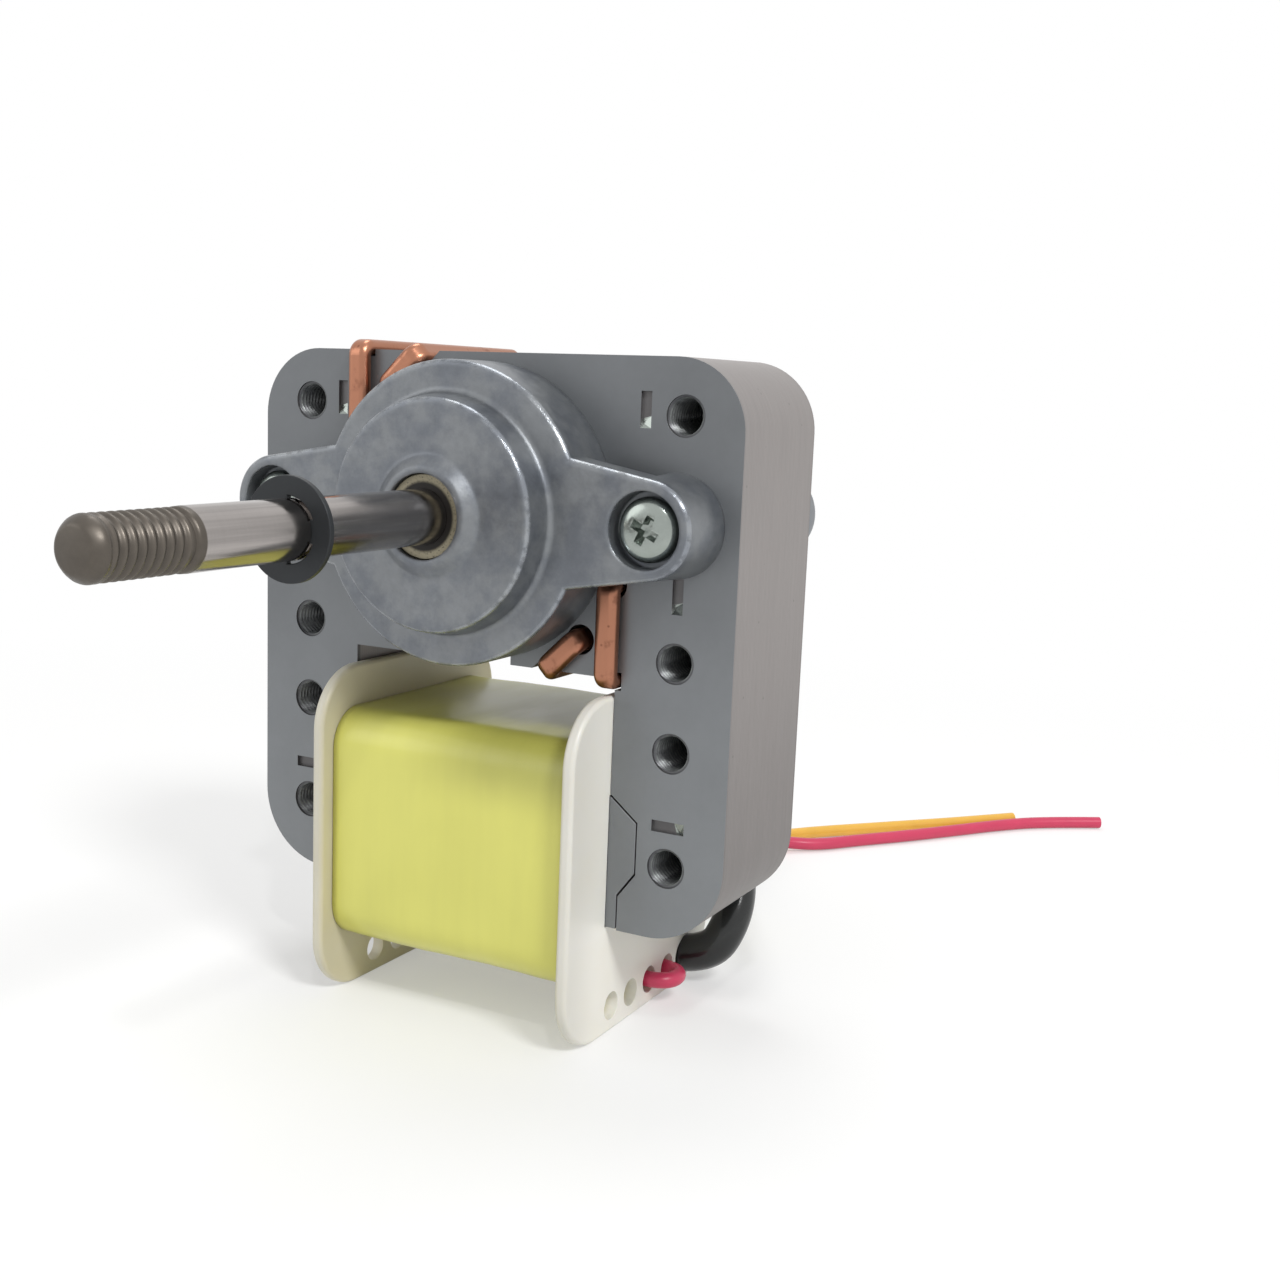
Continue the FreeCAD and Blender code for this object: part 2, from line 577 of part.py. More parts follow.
def bracket(name, closed, where, turn=None):
    """A die casting: two ears on posts, a skirt, a dome and a boss for the bearing."""
    cast = body(name)
    ears = sketch(cast, name + "_ears", "XZ_Plane", "skirt_deep - ear_wall")
    flank = "atan2(ear_root_z - ear_r; ear_x - ear_root_x)"
    tangent = [(f"ear_x + ear_r * sin({flank})", f"ear_r * cos({flank})")]
    quarter = [("ear_root_x", "ear_root_z")] + tangent
    corners = []
    for sx, sz, order in ((1, 1, 1), (1, -1, -1), (-1, -1, 1), (-1, 1, -1)):
        corners += [(f"{sx} * ({x})", f"{sz} * ({z})") for x, z in quarter[::order]]
    ear_outline(ears, corners)
    pad(cast, ears, "ear_wall", inward=False)
    doc.recompute()
    rims = edges_at(cast.Tip.Shape, "Y", [-size("skirt_deep")])
    rounded(cast, cast.Tip, rims, "cast_round")
    for side, post_name in ((1, "right"), (-1, "left")):
        post = cast.newObject("PartDesign::AdditiveCone", f"{name}_{post_name}_post")
        post.Placement = Placement(Vector(), Rotation(Vector(1, 0, 0), 90))
        bind(post, Radius1="ear_foot", Radius2="ear_r", Height="skirt_deep - cast_round",
             Placement__Base__x=f"{side} * ear_x")

    shell = sketch(cast, name + "_shell", "YZ_Plane")
    shoulder = "min(cast_round; 0.45 * (wall_r - dome_foot))"
    outline(shell, [("0", "0"), ("0", "wall_r"), ("-skirt_deep", "wall_r", shoulder),
                    ("-skirt_deep", "dome_foot", shoulder),
                    ("-dome_deep", "dome_r", "cast_round"), ("-dome_deep", "boss_foot"),
                    ("-boss_deep", "boss_r"), ("-boss_deep", "0")])
    turned(cast, shell)
    hollow = sketch(cast, name + "_hollow", "YZ_Plane")
    roof = "-(dome_deep - cast_wall)"
    ledge = "-(skirt_deep - cast_wall)"
    outline(hollow, [("1", "0"), ("1", "cavity_r"), (ledge, "cavity_r"),
                     (ledge, "dome_r - 1"), (roof, "dome_r - cast_wall"),
                     (roof, "cup_r + cup_wall"), ("-cup_lip", "cup_r + cup_wall"),
                     ("-cup_lip", "cup_r"), ("-cup_deep", "cup_r"), ("-cup_deep", "0")])
    turned(cast, hollow, "Groove")
    seat = cast.newObject("PartDesign::SubtractiveSphere", name + "_seat")
    bind(seat, Radius="ball_r + seat_play", Placement__Base__y="-ball_deep")
    if closed:
        end = cast.newObject("PartDesign::AdditiveCylinder", name + "_end")
        end.Placement = Placement(Vector(), Rotation(Vector(1, 0, 0), 90))
        start = "(ball_deep + ball_len / 2 + 4 * seat_play)"
        bind(end, Radius="mouth_r", Height="cap_deep - " + start,
             Placement__Base__y="-" + start)
        bores = sketch(cast, name + "_tapped", "XZ_Plane")
        for side in ("", "-"):
            circle(bores, side + "ear_x", "0", "screw_r + screw_thread")
        pocket(cast, bores, "skirt_deep + 1", inward=False)
    else:
        mouth = sketch(cast, name + "_mouth", "XZ_Plane", "boss_deep + 1")
        circle(mouth, "0", "0", "mouth_r")
        pocket(cast, mouth, "boss_deep + 1 - ball_deep")
        sinks = sketch(cast, name + "_sinks", "XZ_Plane", "skirt_deep + 1")
        ways = sketch(cast, name + "_ways", "XZ_Plane", "skirt_deep + 1")
        for side in ("", "-"):
            circle(sinks, side + "ear_x", "0", "sink_r")
            circle(ways, side + "ear_x", "0", "screw_r + screw_play")
        pocket(cast, sinks, "skirt_deep + 1 - sink_floor")
        pocket(cast, ways)
    relief = sketch(cast, name + "_relief", "XZ_Plane")
    for side in ("", "-"):
        flip = "-" if (side == "") != closed else ""
        box_outline(relief, side + "outer_x", f"{flip}(outer_z - ring_w / 2)",
                    "ring_w + 4 * ring_gap", "2 * ring_w")
    pocket(cast, relief, "ring_thick + 3 * ring_gap", inward=False)
    return place(cast, where, turn)


def ear_outline(drawing, corners):
    """Straight flanks between the eight corners, and an arc round each ear's end."""
    points = [Vector(size(x), size(z), 0) for x, z in corners]
    shapes = []
    for i, point in enumerate(points):
        following = points[(i + 1) % len(points)]
        if i in (1, 5):
            centre = Vector(math.copysign(size("ear_x"), point.x), 0, 0)
            tip = centre + Vector(math.copysign(size("ear_r"), point.x), 0, 0)
            shapes.append(drawing.addGeometry(Part.Arc(point, tip, following), False))
        else:
            shapes.append(drawing.addGeometry(Part.LineSegment(point, following), False))
    for i, corner in enumerate(corners):
        before, after = shapes[i - 1], shapes[i]
        if i in (1, 2, 5, 6):
            arc, line = (after, before) if i in (1, 5) else (before, after)
            arc_end = 2 if i in (1, 5) else 1
            line_end = 2 if i in (1, 5) else 1
            drawing.addConstraint(Sketcher.Constraint("Tangent", arc, arc_end, line, line_end))
        else:
            drawing.addConstraint(Sketcher.Constraint("Coincident", before, 2, after, 1))
            pin(drawing, after, 1, corner[0], corner[1])
    for i, side in ((1, "ear_x"), (5, "-ear_x")):
        pin(drawing, shapes[i], 3, side, "0")
        index = drawing.addConstraint(Sketcher.Constraint("Radius", shapes[i], size("ear_r")))
        drawing.setExpression(f"Constraints[{index}]", tied("ear_r"))


# Screws

def along_y(kind, name, where, **sizes):
    """A round primitive that grows towards +Y from where it is put."""
    shape = doc.addObject("Part::" + kind, name)
    shape.Placement = Placement(Vector(), Rotation(Vector(1, 0, 0), -90))
    bind(shape, **{"Placement__Base__" + axis: where[axis] for axis in "xyz"})
    return bind(shape, **sizes)


def block(name, where, length, width, height):
    """A box about its middle in X and Z that grows towards +Y."""
    shape = doc.addObject("Part::Box", name)
    bind(shape, Length=length, Width=width, Height=height,
         Placement__Base__x=f"{where['x']} - ({length}) / 2", Placement__Base__y=where["y"],
         Placement__Base__z=f"{where['z']} - ({height}) / 2")
    return shape


def joined(kind, name, base, tools):
    """Fuse or cut with one tool or several."""
    if kind == "MultiFuse":
        result = doc.addObject("Part::MultiFuse", name)
        result.Shapes = [base] + tools
        return result
    result = doc.addObject("Part::" + kind, name)
    result.Base, result.Tool = base, tools[0]
    return result


def screw(name, side):
    head_at = {"x": f"{side} * ear_x", "y": "-sink_floor - head_tall", "z": "0"}
    seat_at = dict(head_at, y="-sink_floor")
    head = along_y("Cylinder", name + "_head", head_at, Radius="head_r", Height="head_tall")
    doc.recompute()
    dome = doc.addObject("Part::Fillet", name + "_dome")
    dome.Base = head
    front = edges_at(head.Shape, "Y", [-size("sink_floor + head_tall")])
    radius = size("head_tall") * 0.55
    dome.Edges = [(int(edge[4:]), radius, radius) for edge in front]
    shank = along_y("Cylinder", name + "_shank", seat_at, Radius="screw_r", Height="screw_len")
    whole = joined("MultiFuse", name + "_blank", dome, [shank])
    across = block(name + "_slot_x", head_at, "cross_len", "cross_deep", "cross_w")
    upright = block(name + "_slot_z", head_at, "cross_w", "cross_deep", "cross_len")
    cross = joined("MultiFuse", name + "_cross", across, [upright])
    return place(joined("Cut", name, whole, [cross]), HOUSING)


# Bearings, felts and retainers, the same at both ends

def bearing(name, where, turn):
    middle = {"x": "0", "y": "-ball_deep", "z": "0"}
    front = dict(middle, y="-ball_deep - ball_len / 2")
    ball = along_y("Sphere", name + "_ball", middle, Radius="ball_r")
    band = along_y("Cylinder", name + "_band", front, Radius="ball_r + 1", Height="ball_len")
    barrel = joined("Common", name + "_barrel", ball, [band])
    bore = along_y("Cylinder", name + "_bore", front, Radius="shaft_r + run_play",
                   Height="ball_len")
    return place(joined("Cut", name, barrel, [bore]), where, turn)


def retainer(name, where, turn):
    spring = body(name)
    profile = sketch(spring, name + "_profile", "YZ_Plane")
    rim = "-spring_deep"
    lip = "-(ball_deep - sqrt((ball_r + seat_play) ^ 2 - spring_lip ^ 2))"
    outline(profile, [(rim, "cup_r - seat_play"), (rim + " + spring_thick", "cup_r - seat_play"),
                      (rim + " + spring_thick", "spring_flat"),
                      (lip + " + spring_thick", "spring_lip"), (lip, "spring_lip"),
                      (rim, "spring_flat")])
    turned(spring, profile)
    slot = sketch(spring, name + "_slot", "XZ_Plane", "ball_deep")
    box_outline(slot, "(spring_lip + spring_flat) / 2", "0", "spring_flat - spring_lip + 2",
                "finger_slot")
    cut = pocket(spring, slot, "ball_deep")
    around = spring.newObject("PartDesign::PolarPattern", name + "_slots")
    around.Originals = [cut]
    around.Axis = (slot, ["N_Axis"])
    around.Angle = 360
    around.Occurrences = SPRING_FINGERS
    spring.Tip = around
    return place(spring, where, turn)


def end_parts(end, where, turn=None):
    bearing(end + "_bearing", where, turn)
    retainer(end + "_retainer", where, turn)
    plain_ring(end + "_oil_felt", "felt_in", "cup_r - seat_play", "-cup_deep + fit_gap",
               "-cup_deep + felt_thick", where, turn)
    face = "-ball_deep + ball_len / 2 + end_play"
    plain_ring(end + "_thrust_washer", "shaft_r + fit_gap", "washer_r", face,
               face + " + washer_thick", where, turn)
    plain_ring(end + "_spacer", "shaft_r + fit_gap", "washer_r",
               face + " + washer_thick + fit_gap", "rotor_inset - fit_gap", where, turn)


# Rotor, shaft and clip

def rotor_core():
    core = body("rotor_core")
    disc = sketch(core, "disc", "XZ_Plane", "-rotor_inset")
    circle(disc, "0", "0", "rotor_r")
    circle(disc, "0", "0", "shaft_r + fit_gap")
    for number in range(CAGE_BARS):
        angle = number * 360 / CAGE_BARS
        circle(disc, f"bar_circle * cos({angle})", f"bar_circle * sin({angle})",
               "bar_r + fit_gap")
    pad(core, disc, "stack_len - 2 * rotor_inset")
    return place(core, HOUSING)


def rotor_cage():
    cage = body("rotor_cage")
    bars = sketch(cage, "bars", "XZ_Plane", "-rotor_inset + 2 * fit_gap")
    for number in range(CAGE_BARS):
        angle = number * 360 / CAGE_BARS
        circle(bars, f"bar_circle * cos({angle})", f"bar_circle * sin({angle})", "bar_r")
    near = "rotor_inset - fit_gap"
    far = "stack_len - rotor_inset + fit_gap"
    ring_profile(cage, "front_end_ring", "end_ring_in", "end_ring_out",
                 near + " - end_ring_tall", near)
    pad(cage, bars, "stack_len - 2 * rotor_inset + 4 * fit_gap")
    ring_profile(cage, "rear_end_ring", "end_ring_in", "end_ring_out", far,
                 far + " + end_ring_tall")
    return place(cage, HOUSING)


def shaft():
    spindle = body("shaft")
    profile = sketch(spindle, "spindle", "YZ_Plane")
    thread_end = "-shaft_reach + thread_len"
    clip_front = "-clip_at - clip_thick / 2 - clip_play"
    clip_back = "-clip_at + clip_thick / 2 + clip_play"
    tail = "stack_len + shaft_tail"
    outline(profile, [
        ("-shaft_reach", "0"), ("-shaft_reach", "thread_r - tip_bevel"),
        ("-shaft_reach + tip_bevel", "thread_r"), (thread_end + " - relief_len", "thread_r"),
        (thread_end + " - relief_len", "relief_r"), (thread_end, "relief_r"),
        (thread_end, "shaft_r"), (clip_front, "shaft_r"), (clip_front, "clip_groove"),
        (clip_back, "clip_groove"), (clip_back, "shaft_r"),
        (tail + " - tip_bevel / 2", "shaft_r"), (tail, "shaft_r - tip_bevel / 2"),
        (tail, "0")])
    turned(spindle, profile)
    return place(spindle, HOUSING)


def e_clip():
    back = {"x": "0", "y": "-clip_at - clip_thick / 2", "z": "0"}
    disc = along_y("Cylinder", "clip_disc", back, Radius="clip_r", Height="clip_thick")
    space = along_y("Cylinder", "clip_space", back, Radius="clip_ring", Height="clip_thick")
    bow = joined("Cut", "clip_bow", disc, [space])
    bottom = block("clip_lobe_right", dict(back, x="clip_r / 2"), "clip_r - 1", "clip_thick",
                   "clip_lobe")
    tips = [block(f"clip_tip_{number}", dict(back, x="-clip_lobe / 2", z=height), "clip_lobe",
                  "clip_thick", "clip_r - 1")
            for number, height in ((1, "clip_r / 2"), (2, "-clip_r / 2"))]
    claws = joined("MultiFuse", "clip_claws", bow, [bottom] + tips)
    limit = along_y("Cylinder", "clip_limit", back, Radius="clip_r", Height="clip_thick")
    trimmed = joined("Common", "clip_trimmed", claws, [limit])
    root = along_y("Cylinder", "clip_root", back, Radius="clip_groove + clip_play",
                   Height="clip_thick")
    mouth = block("clip_mouth_cut", dict(back, x="-clip_r / 2 - clip_lobe / 2"), "clip_r",
                  "clip_thick", "clip_mouth")
    waste = joined("MultiFuse", "clip_waste", root, [mouth])
    return place(joined("Cut", "e_clip", trimmed, [waste]), HOUSING)


# Leads and sleeve

def leads():
    """Both leads leave the last hole of the right flange in one sleeve.

    It bends up behind the stack and comes down to the floor, where the leads run on.  The red
    one is first threaded out and in through the two holes before it.
    """
    hole = [size(f"eyelet_first + {number} * eyelet_pitch") for number in range(EYELETS + 1)]
    level = -size("eyelet_drop")
    lay = -size("base_drop") + size("lay_gap")
    sleeved = lay + size("sleeve_r")
    free = lay + size("lead_r")
    step = size("lead_step")
    sleeve_route = [(17.8, hole[4], level), (27.6, hole[4] + 0.3, level), (31.4, 31.2, -66.5),
                    (29.0, 37.0, -60.0), (23.5, 50.0, -61.5), (17.5, 62.0, -69.0),
                    (11.5, 77.0, sleeved), (7.5, 90.0, sleeved), (6.5, 101.0, sleeved)]
    shared = sleeve_route[:-1] + [(6.1, 105.4, sleeved)]
    red = [(11.5, hole[2], -71.2), (17.5, hole[2], level), (26.6, hole[2], level),
           (26.6, hole[3], level), (14.4, hole[3], level), (14.4, hole[4], level - step)]
    red += beside(shared, -step)[1:]
    red += [(9.7, 109.0, free + 0.5), (15.7, 113.4, free), (22.0, 122.3, free),
            (29.3, 131.4, free), (36.5, 141.5, free), (44.8, 153.6, free),
            (52.5, 162.3, free), (63.7, 169.9, free)]
    yellow = [(9.0, hole[4], -71.0), (14.4, hole[4], level + step)]
    yellow += beside(shared, step)[1:]
    yellow += [(6.4, 113.0, free + 0.5), (11.5, 122.4, free), (19.0, 130.8, free),
               (26.7, 139.4, free), (34.6, 148.2, free), (43.4, 158.8, free),
               (45.6, 161.4, free)]
    tube("lead_sleeve", sleeve_route, "sleeve_r", "sleeve_in")
    tube("red_lead", red, "lead_r")
    tube("yellow_lead", yellow, "lead_r")


def beside(route, step):
    """A route at that distance from another, above it at the start and carried round its bends."""
    points = [Vector(*point) for point in route]
    runs = [(after - before).normalize() for before, after in zip(points, points[1:])]
    sides = [Vector(0, 0, 1)]
    for before, after in zip(runs, runs[1:]):
        sides.append(Rotation(before, after).multVec(sides[-1]))
    shifted = [points[0] + sides[0] * step]
    for point, before, after in zip(points[1:], sides, sides[1:]):
        shifted.append(point + (before + after) * (step / (1 + before.dot(after))))
    return [tuple(point) for point in shifted + [points[-1] + sides[-1] * step]]


def rounded_path(route):
    """Straight runs joined by arcs, each as large as its two runs allow."""
    points = [Vector(*point) for point in route]
    edges, radii, start = [], [], points[0]
    for before, corner, after in zip(points, points[1:], points[2:]):
        back = (before - corner).normalize()
        ahead = (after - corner).normalize()
        reach = 0.45 * min((before - corner).Length, (after - corner).Length)
        half = back.getAngle(ahead) / 2
        radius = reach * math.tan(half)
        centre = corner + (back + ahead).normalize() * (radius / math.sin(half))
        middle = centre + (corner - centre).normalize() * radius
        first, last = corner + back * reach, corner + ahead * reach
        edges.append(Part.LineSegment(start, first).toShape())
        edges.append(Part.Arc(first, middle, last).toShape())
        radii.append(radius)
        start = last
    edges.append(Part.LineSegment(start, points[-1]).toShape())
    return Part.Wire(edges), radii


def tube(name, route, radius, bore=None):
    path, radii = rounded_path(route)
    direction = Vector(*route[1]) - Vector(*route[0])
    solids = []
    for wall in [radius] + ([bore] if bore else []):
        rim = Part.Wire(Part.Circle(Vector(*route[0]), direction, size(wall)).toShape())
        solids.append(path.makePipeShell([rim], True, False))
    shape = solids[0].cut(solids[1]) if bore else solids[0]
    area = math.pi * (size(radius) ** 2 - (size(bore) ** 2 if bore else 0))
    print(f"{name}: length {path.Length:.1f}, smallest bend {min(radii):.1f}, "
          f"volume ratio {shape.Volume / (area * path.Length):.4f}")
    piece = doc.addObject("Part::Feature", name)
    piece.Shape = shape
    return place(piece, HOUSING)


def build():
    half_turn = Rotation(Vector(0, 0, 1), 180)
    stator_core()
    yoke_core()
    bobbin()
    coil_and_tape()
    for name, slot in ring_slots().items():
        shading_ring(name, *slot)
    bracket("front_bracket", False, HOUSING)
    bracket("rear_bracket", True, BEHIND, half_turn)
    screw("bracket_screw_right", 1)
    screw("bracket_screw_left", -1)
    end_parts("front", HOUSING)
    end_parts("rear", BEHIND, half_turn)
    rotor_core()
    rotor_cage()
    shaft()
    e_clip()
    leads()
    doc.recompute()


NODES = ["stator_core", "yoke_core", "bobbin", "coil_winding", "tape_wrap",
         "shading_ring_lower_outer", "shading_ring_lower_inner", "shading_ring_upper_outer",
         "shading_ring_upper_inner", "front_bracket", "rear_bracket", "bracket_screw_right",
         "bracket_screw_left", "front_bearing", "rear_bearing", "front_retainer",
         "rear_retainer", "front_oil_felt", "rear_oil_felt", "front_thrust_washer",
         "rear_thrust_washer", "front_spacer", "rear_spacer", "rotor_core", "rotor_cage",
         "shaft", "e_clip", "red_lead", "yellow_lead", "lead_sleeve"]


def check_and_export():
    for thing in doc.Objects:
        if {"Invalid", "Error"} & set(thing.State):
            raise RuntimeError(f"{thing.Label} failed: {thing.State}")
    os.makedirs("parts", exist_ok=True)
    for name in NODES:
        piece = doc.getObject(name)
        shape = piece.Shape
        if shape.isNull() or not shape.isValid() or not shape.Solids:
            raise RuntimeError(f"{name} has no valid solid")
        shape.exportStep(f"parts/{name}.step")
        box = shape.BoundBox
        print(f"{name:26s} {len(shape.Solids)} solid, {shape.Volume / 1000:8.3f} cm3, "
              f"x {box.XMin:.1f}..{box.XMax:.1f} y {box.YMin:.1f}..{box.YMax:.1f} "
              f"z {box.ZMin:.1f}..{box.ZMax:.1f}")


build()
check_and_export()
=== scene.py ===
import math

import bmesh
import bpy
from bpy.props import FloatProperty, FloatVectorProperty, IntProperty, PointerProperty
from mathutils import Matrix, Vector, noise


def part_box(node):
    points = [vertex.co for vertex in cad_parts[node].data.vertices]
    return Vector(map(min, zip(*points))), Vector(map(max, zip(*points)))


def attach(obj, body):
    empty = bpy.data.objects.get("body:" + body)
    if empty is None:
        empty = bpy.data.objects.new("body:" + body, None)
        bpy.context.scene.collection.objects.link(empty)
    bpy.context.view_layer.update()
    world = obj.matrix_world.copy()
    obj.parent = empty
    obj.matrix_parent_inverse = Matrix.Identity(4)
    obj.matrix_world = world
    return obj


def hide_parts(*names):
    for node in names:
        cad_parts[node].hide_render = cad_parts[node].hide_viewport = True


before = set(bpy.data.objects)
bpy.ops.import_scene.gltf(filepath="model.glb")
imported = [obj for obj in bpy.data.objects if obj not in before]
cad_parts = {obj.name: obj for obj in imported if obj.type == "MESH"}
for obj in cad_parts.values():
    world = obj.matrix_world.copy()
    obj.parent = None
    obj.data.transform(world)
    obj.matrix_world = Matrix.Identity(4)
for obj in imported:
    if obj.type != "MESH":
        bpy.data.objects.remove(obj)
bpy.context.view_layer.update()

bl_info = {
    "name": "Condenser fan motor",
    "version": (1, 0, 0),
    "blender": (4, 5, 0),
    "location": "3D View > Sidebar > Motor",
    "description": "Fine pieces and finishes for a shaded-pole condenser fan motor",
    "category": "Object",
}

MM = 0.001
STACK_LOW, STACK_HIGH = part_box("stator_core")
SHAFT_LOW, SHAFT_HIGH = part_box("shaft")
FRONT, BACK = STACK_LOW.y, STACK_HIGH.y
MIDDLE, HALF = (FRONT + BACK) / 2, (BACK - FRONT) / 2
AXIS = (SHAFT_LOW.z + SHAFT_HIGH.z) / 2
SHAFT_R = (SHAFT_HIGH.z - SHAFT_LOW.z) / 2
TAPE_LOW, TAPE_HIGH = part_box("tape_wrap")
BOBBIN_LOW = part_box("bobbin")[0]

# The tip of the shaft and the end of its thread along Y, in the millimetres of row()
SHAFT_TIP, THREAD_END = -81.0, -66.7
# The tapped mounting holes and, with its turn, each interlock dimple on the right half of the
# stack, in the millimetres of row(). The left half mirrors them.
TAPPED_X, TAPPED_Z = 32.9, (15.4, -19.7, -32.9, -50.1)
DIMPLES = ((26.7, 16.1, 0), (32.9, -10, 0), (32.9, -43.9, math.pi / 2))
# The painted shade on the dimple floors stays this near to the middle and this low, with an edge
# SOFT each way
DIMPLED_X, DIMPLED_Z, SOFT = 36 * MM, AXIS + 19.4 * MM, 0.2 * MM
# How far the castings' skirts and domes stand out of the stack
SKIRT_FACE, DOME_FACE = 10.5 * MM, 15.2 * MM
# A lamination's thickness, and the scale of a Wave node that repeats once in a metre
SHEET, WAVE = 0.5 * MM, 0.314
# The attribute "crest" is 1 on crests, 0 in roots, and this on the shaft beside its thread
PLAIN_CREST = 0.6


def row(x, y, z):
    """A point given in millimetres from where the shaft's axis meets the stack's front face."""
    return Vector((x * MM, FRONT + y * MM, AXIS + z * MM))


def tint(code):
    """A screen colour such as 7d8083 as scene values."""
    parts = [int(code[i:i + 2], 16) / 255 for i in (0, 2, 4)]
    return tuple(p / 12.92 if p < 0.04045 else ((p + 0.055) / 1.055) ** 2.4 for p in parts)


def length(name, note, default):
    """A size in metres that a user can change."""
    return FloatProperty(name=name, description=note, default=default, unit="LENGTH",
                         precision=5)


def colour(name, note, code):
    """A colour that a user can change, given as a screen colour."""
    return FloatVectorProperty(name=name, description=note, default=tint(code), size=3,
                               subtype="COLOR", min=0, max=1)


class MotorSizes(bpy.types.PropertyGroup):
    """Sizes of the pieces that are finer than the CAD model."""
    thread_pitch: length("Thread pitch", "Pitch of the thread on the shaft", 1.411 * MM)
    thread_deep: length("Thread depth", "Crest to root of that thread", 0.45 * MM)
    tapped_pitch: length("Tapped pitch", "Pitch in the tapped mounting holes", 0.8 * MM)
    tapped_deep: length("Tapped depth", "Crest to root in those holes", 0.42 * MM)
    edge: length("Edge", "Rounding of punched and cut edges", 0.12 * MM)
    lead: length("Lead", "Diameter of the leads", 2.6 * MM)
    sleeve: length("Sleeve", "Outer diameter of the sleeve", 6.3 * MM)
    tape_swell: length("Tape swell", "How far the wound coil lifts or dents the tape", 0.28 * MM)
    facets: IntProperty(name="Facets", description="Facets round the shaft", default=96, min=24)


class MotorColours(bpy.types.PropertyGroup):
    """Colours of the finishes."""
    steel: colour("Steel", "Face of the lamination stack", "7b7e81")
    steel_edge: colour("Steel edges", "Cut edges of the laminations", "8e8987")
    # Also painted shade on the floors of the interlock dimple recesses
    tapped: colour("Tapped holes", "Oily thread in the mounting holes", "525356")
    casting: colour("Casting", "Die-cast end brackets", "7c7f82")
    casting_cool: colour("Cool casting", "Bluer patches of the casting", "6e7278")
    nylon: colour("Nylon", "Bobbin", "e0ded6")
    # A darker, warmer nylon painted as shade between the flanges and on the left flange
    nylon_warm_painted_shade: colour("Warm nylon", "Bobbin where it is older", "cdc5a6")
    tape: colour("Tape", "Polyester tape over the coil", "d0ce67")
    copper: colour("Copper", "Shading rings", "ab775f")
    tarnish: colour("Tarnish", "Dull spots on the copper", "7a5141")
    zinc: colour("Zinc", "Plated screws", "9aa19c")
    bronze: colour("Bronze", "Sintered bearings", "8f8873")
    # Also painted shade in the gap round the shaft at the bearing faces
    oil: colour("Oil", "Dark oil on the bearings", "1d1a17")
    ground: colour("Ground steel", "Shaft", "9d9895")
    thread: colour("Thread", "Rolled thread", "565049")
    black: colour("Black steel", "Retaining clip", "232629")
    red: colour("Red", "Cover of the red lead", "c4385a")
    yellow: colour("Yellow", "Cover of the yellow lead", "e3b247")
    sleeve: colour("Sleeve", "Insulating sleeve", "1c1e1e")
    spring: colour("Spring steel", "Rings that hold the bearings in their seats", "8e9093")
    felt: colour("Felt", "Oil felts", "c9c2a8")
    fibre: colour("Fibre", "Thrust washers and spacers", "6b4a33")
    core: colour("Rotor steel", "Rotor's laminations", "76787a")
    cage: colour("Rotor cage", "Cast bars and end rings of the rotor", "a9acae")
    floor: colour("Floor", "Floor under the motor", "f4f4f3")


class Out:
    """A node's output. Python's operators on it add Math nodes to the same tree."""

    def __init__(self, tree, socket=None):
        self.tree, self.socket = tree, socket

    def node(self, kind, settings=None, sockets=None, output=0):
        """A new node: first its settings, then the values or links of its sockets.

        Gives its output, or the node itself where it has none.
        """
        made = self.tree.nodes.new(kind)
        for name, value in (settings or {}).items():
            setattr(made, name, value)
        for name, value in (sockets or {}).items():
            if isinstance(value, Out):
                self.tree.links.new(value.socket, made.inputs[name])
            else:
                made.inputs[name].default_value = value
        return Out(self.tree, made.outputs[output]) if made.outputs else made

    def math(self, operation, first, second=0.0):
        return self.node("ShaderNodeMath", {"operation": operation}, {0: first, 1: second})

    def __add__(self, other):
        return self.math("ADD", self, other)

    def __sub__(self, other):
        return self.math("SUBTRACT", self, other)

    def __rsub__(self, other):
        return self.math("SUBTRACT", other, self)

    def __mul__(self, other):
        return self.math("MULTIPLY", self, other)

    def __pow__(self, other):
        return self.math("POWER", self, other)

    def __rpow__(self, other):
        return self.math("POWER", other, self)

    def __abs__(self):
        return self.math("ABSOLUTE", self)

    __radd__ = __add__
    __rmul__ = __mul__

    def top(self, other):
        """The larger of the two."""
        return self.math("MAXIMUM", self, other)

    def step(self, low, high, start=0.0, end=1.0):
        """Smoothly from start to end as this goes from low to high."""
        return self.node("ShaderNodeMapRange", {"interpolation_type": "SMOOTHSTEP"},
                         {"Value": self, "From Min": low, "From Max": high,
                          "To Min": start, "To Max": end})


def seen(node):
    """1 where a surface is seen, straight, mirrored or through glass, and 0 for its light."""
    camera, glossy, through = (node("ShaderNodeLightPath", output="Is " + ray + " Ray")
                               for ray in ("Camera", "Glossy", "Transmission"))
    return camera.top(glossy).top(through)


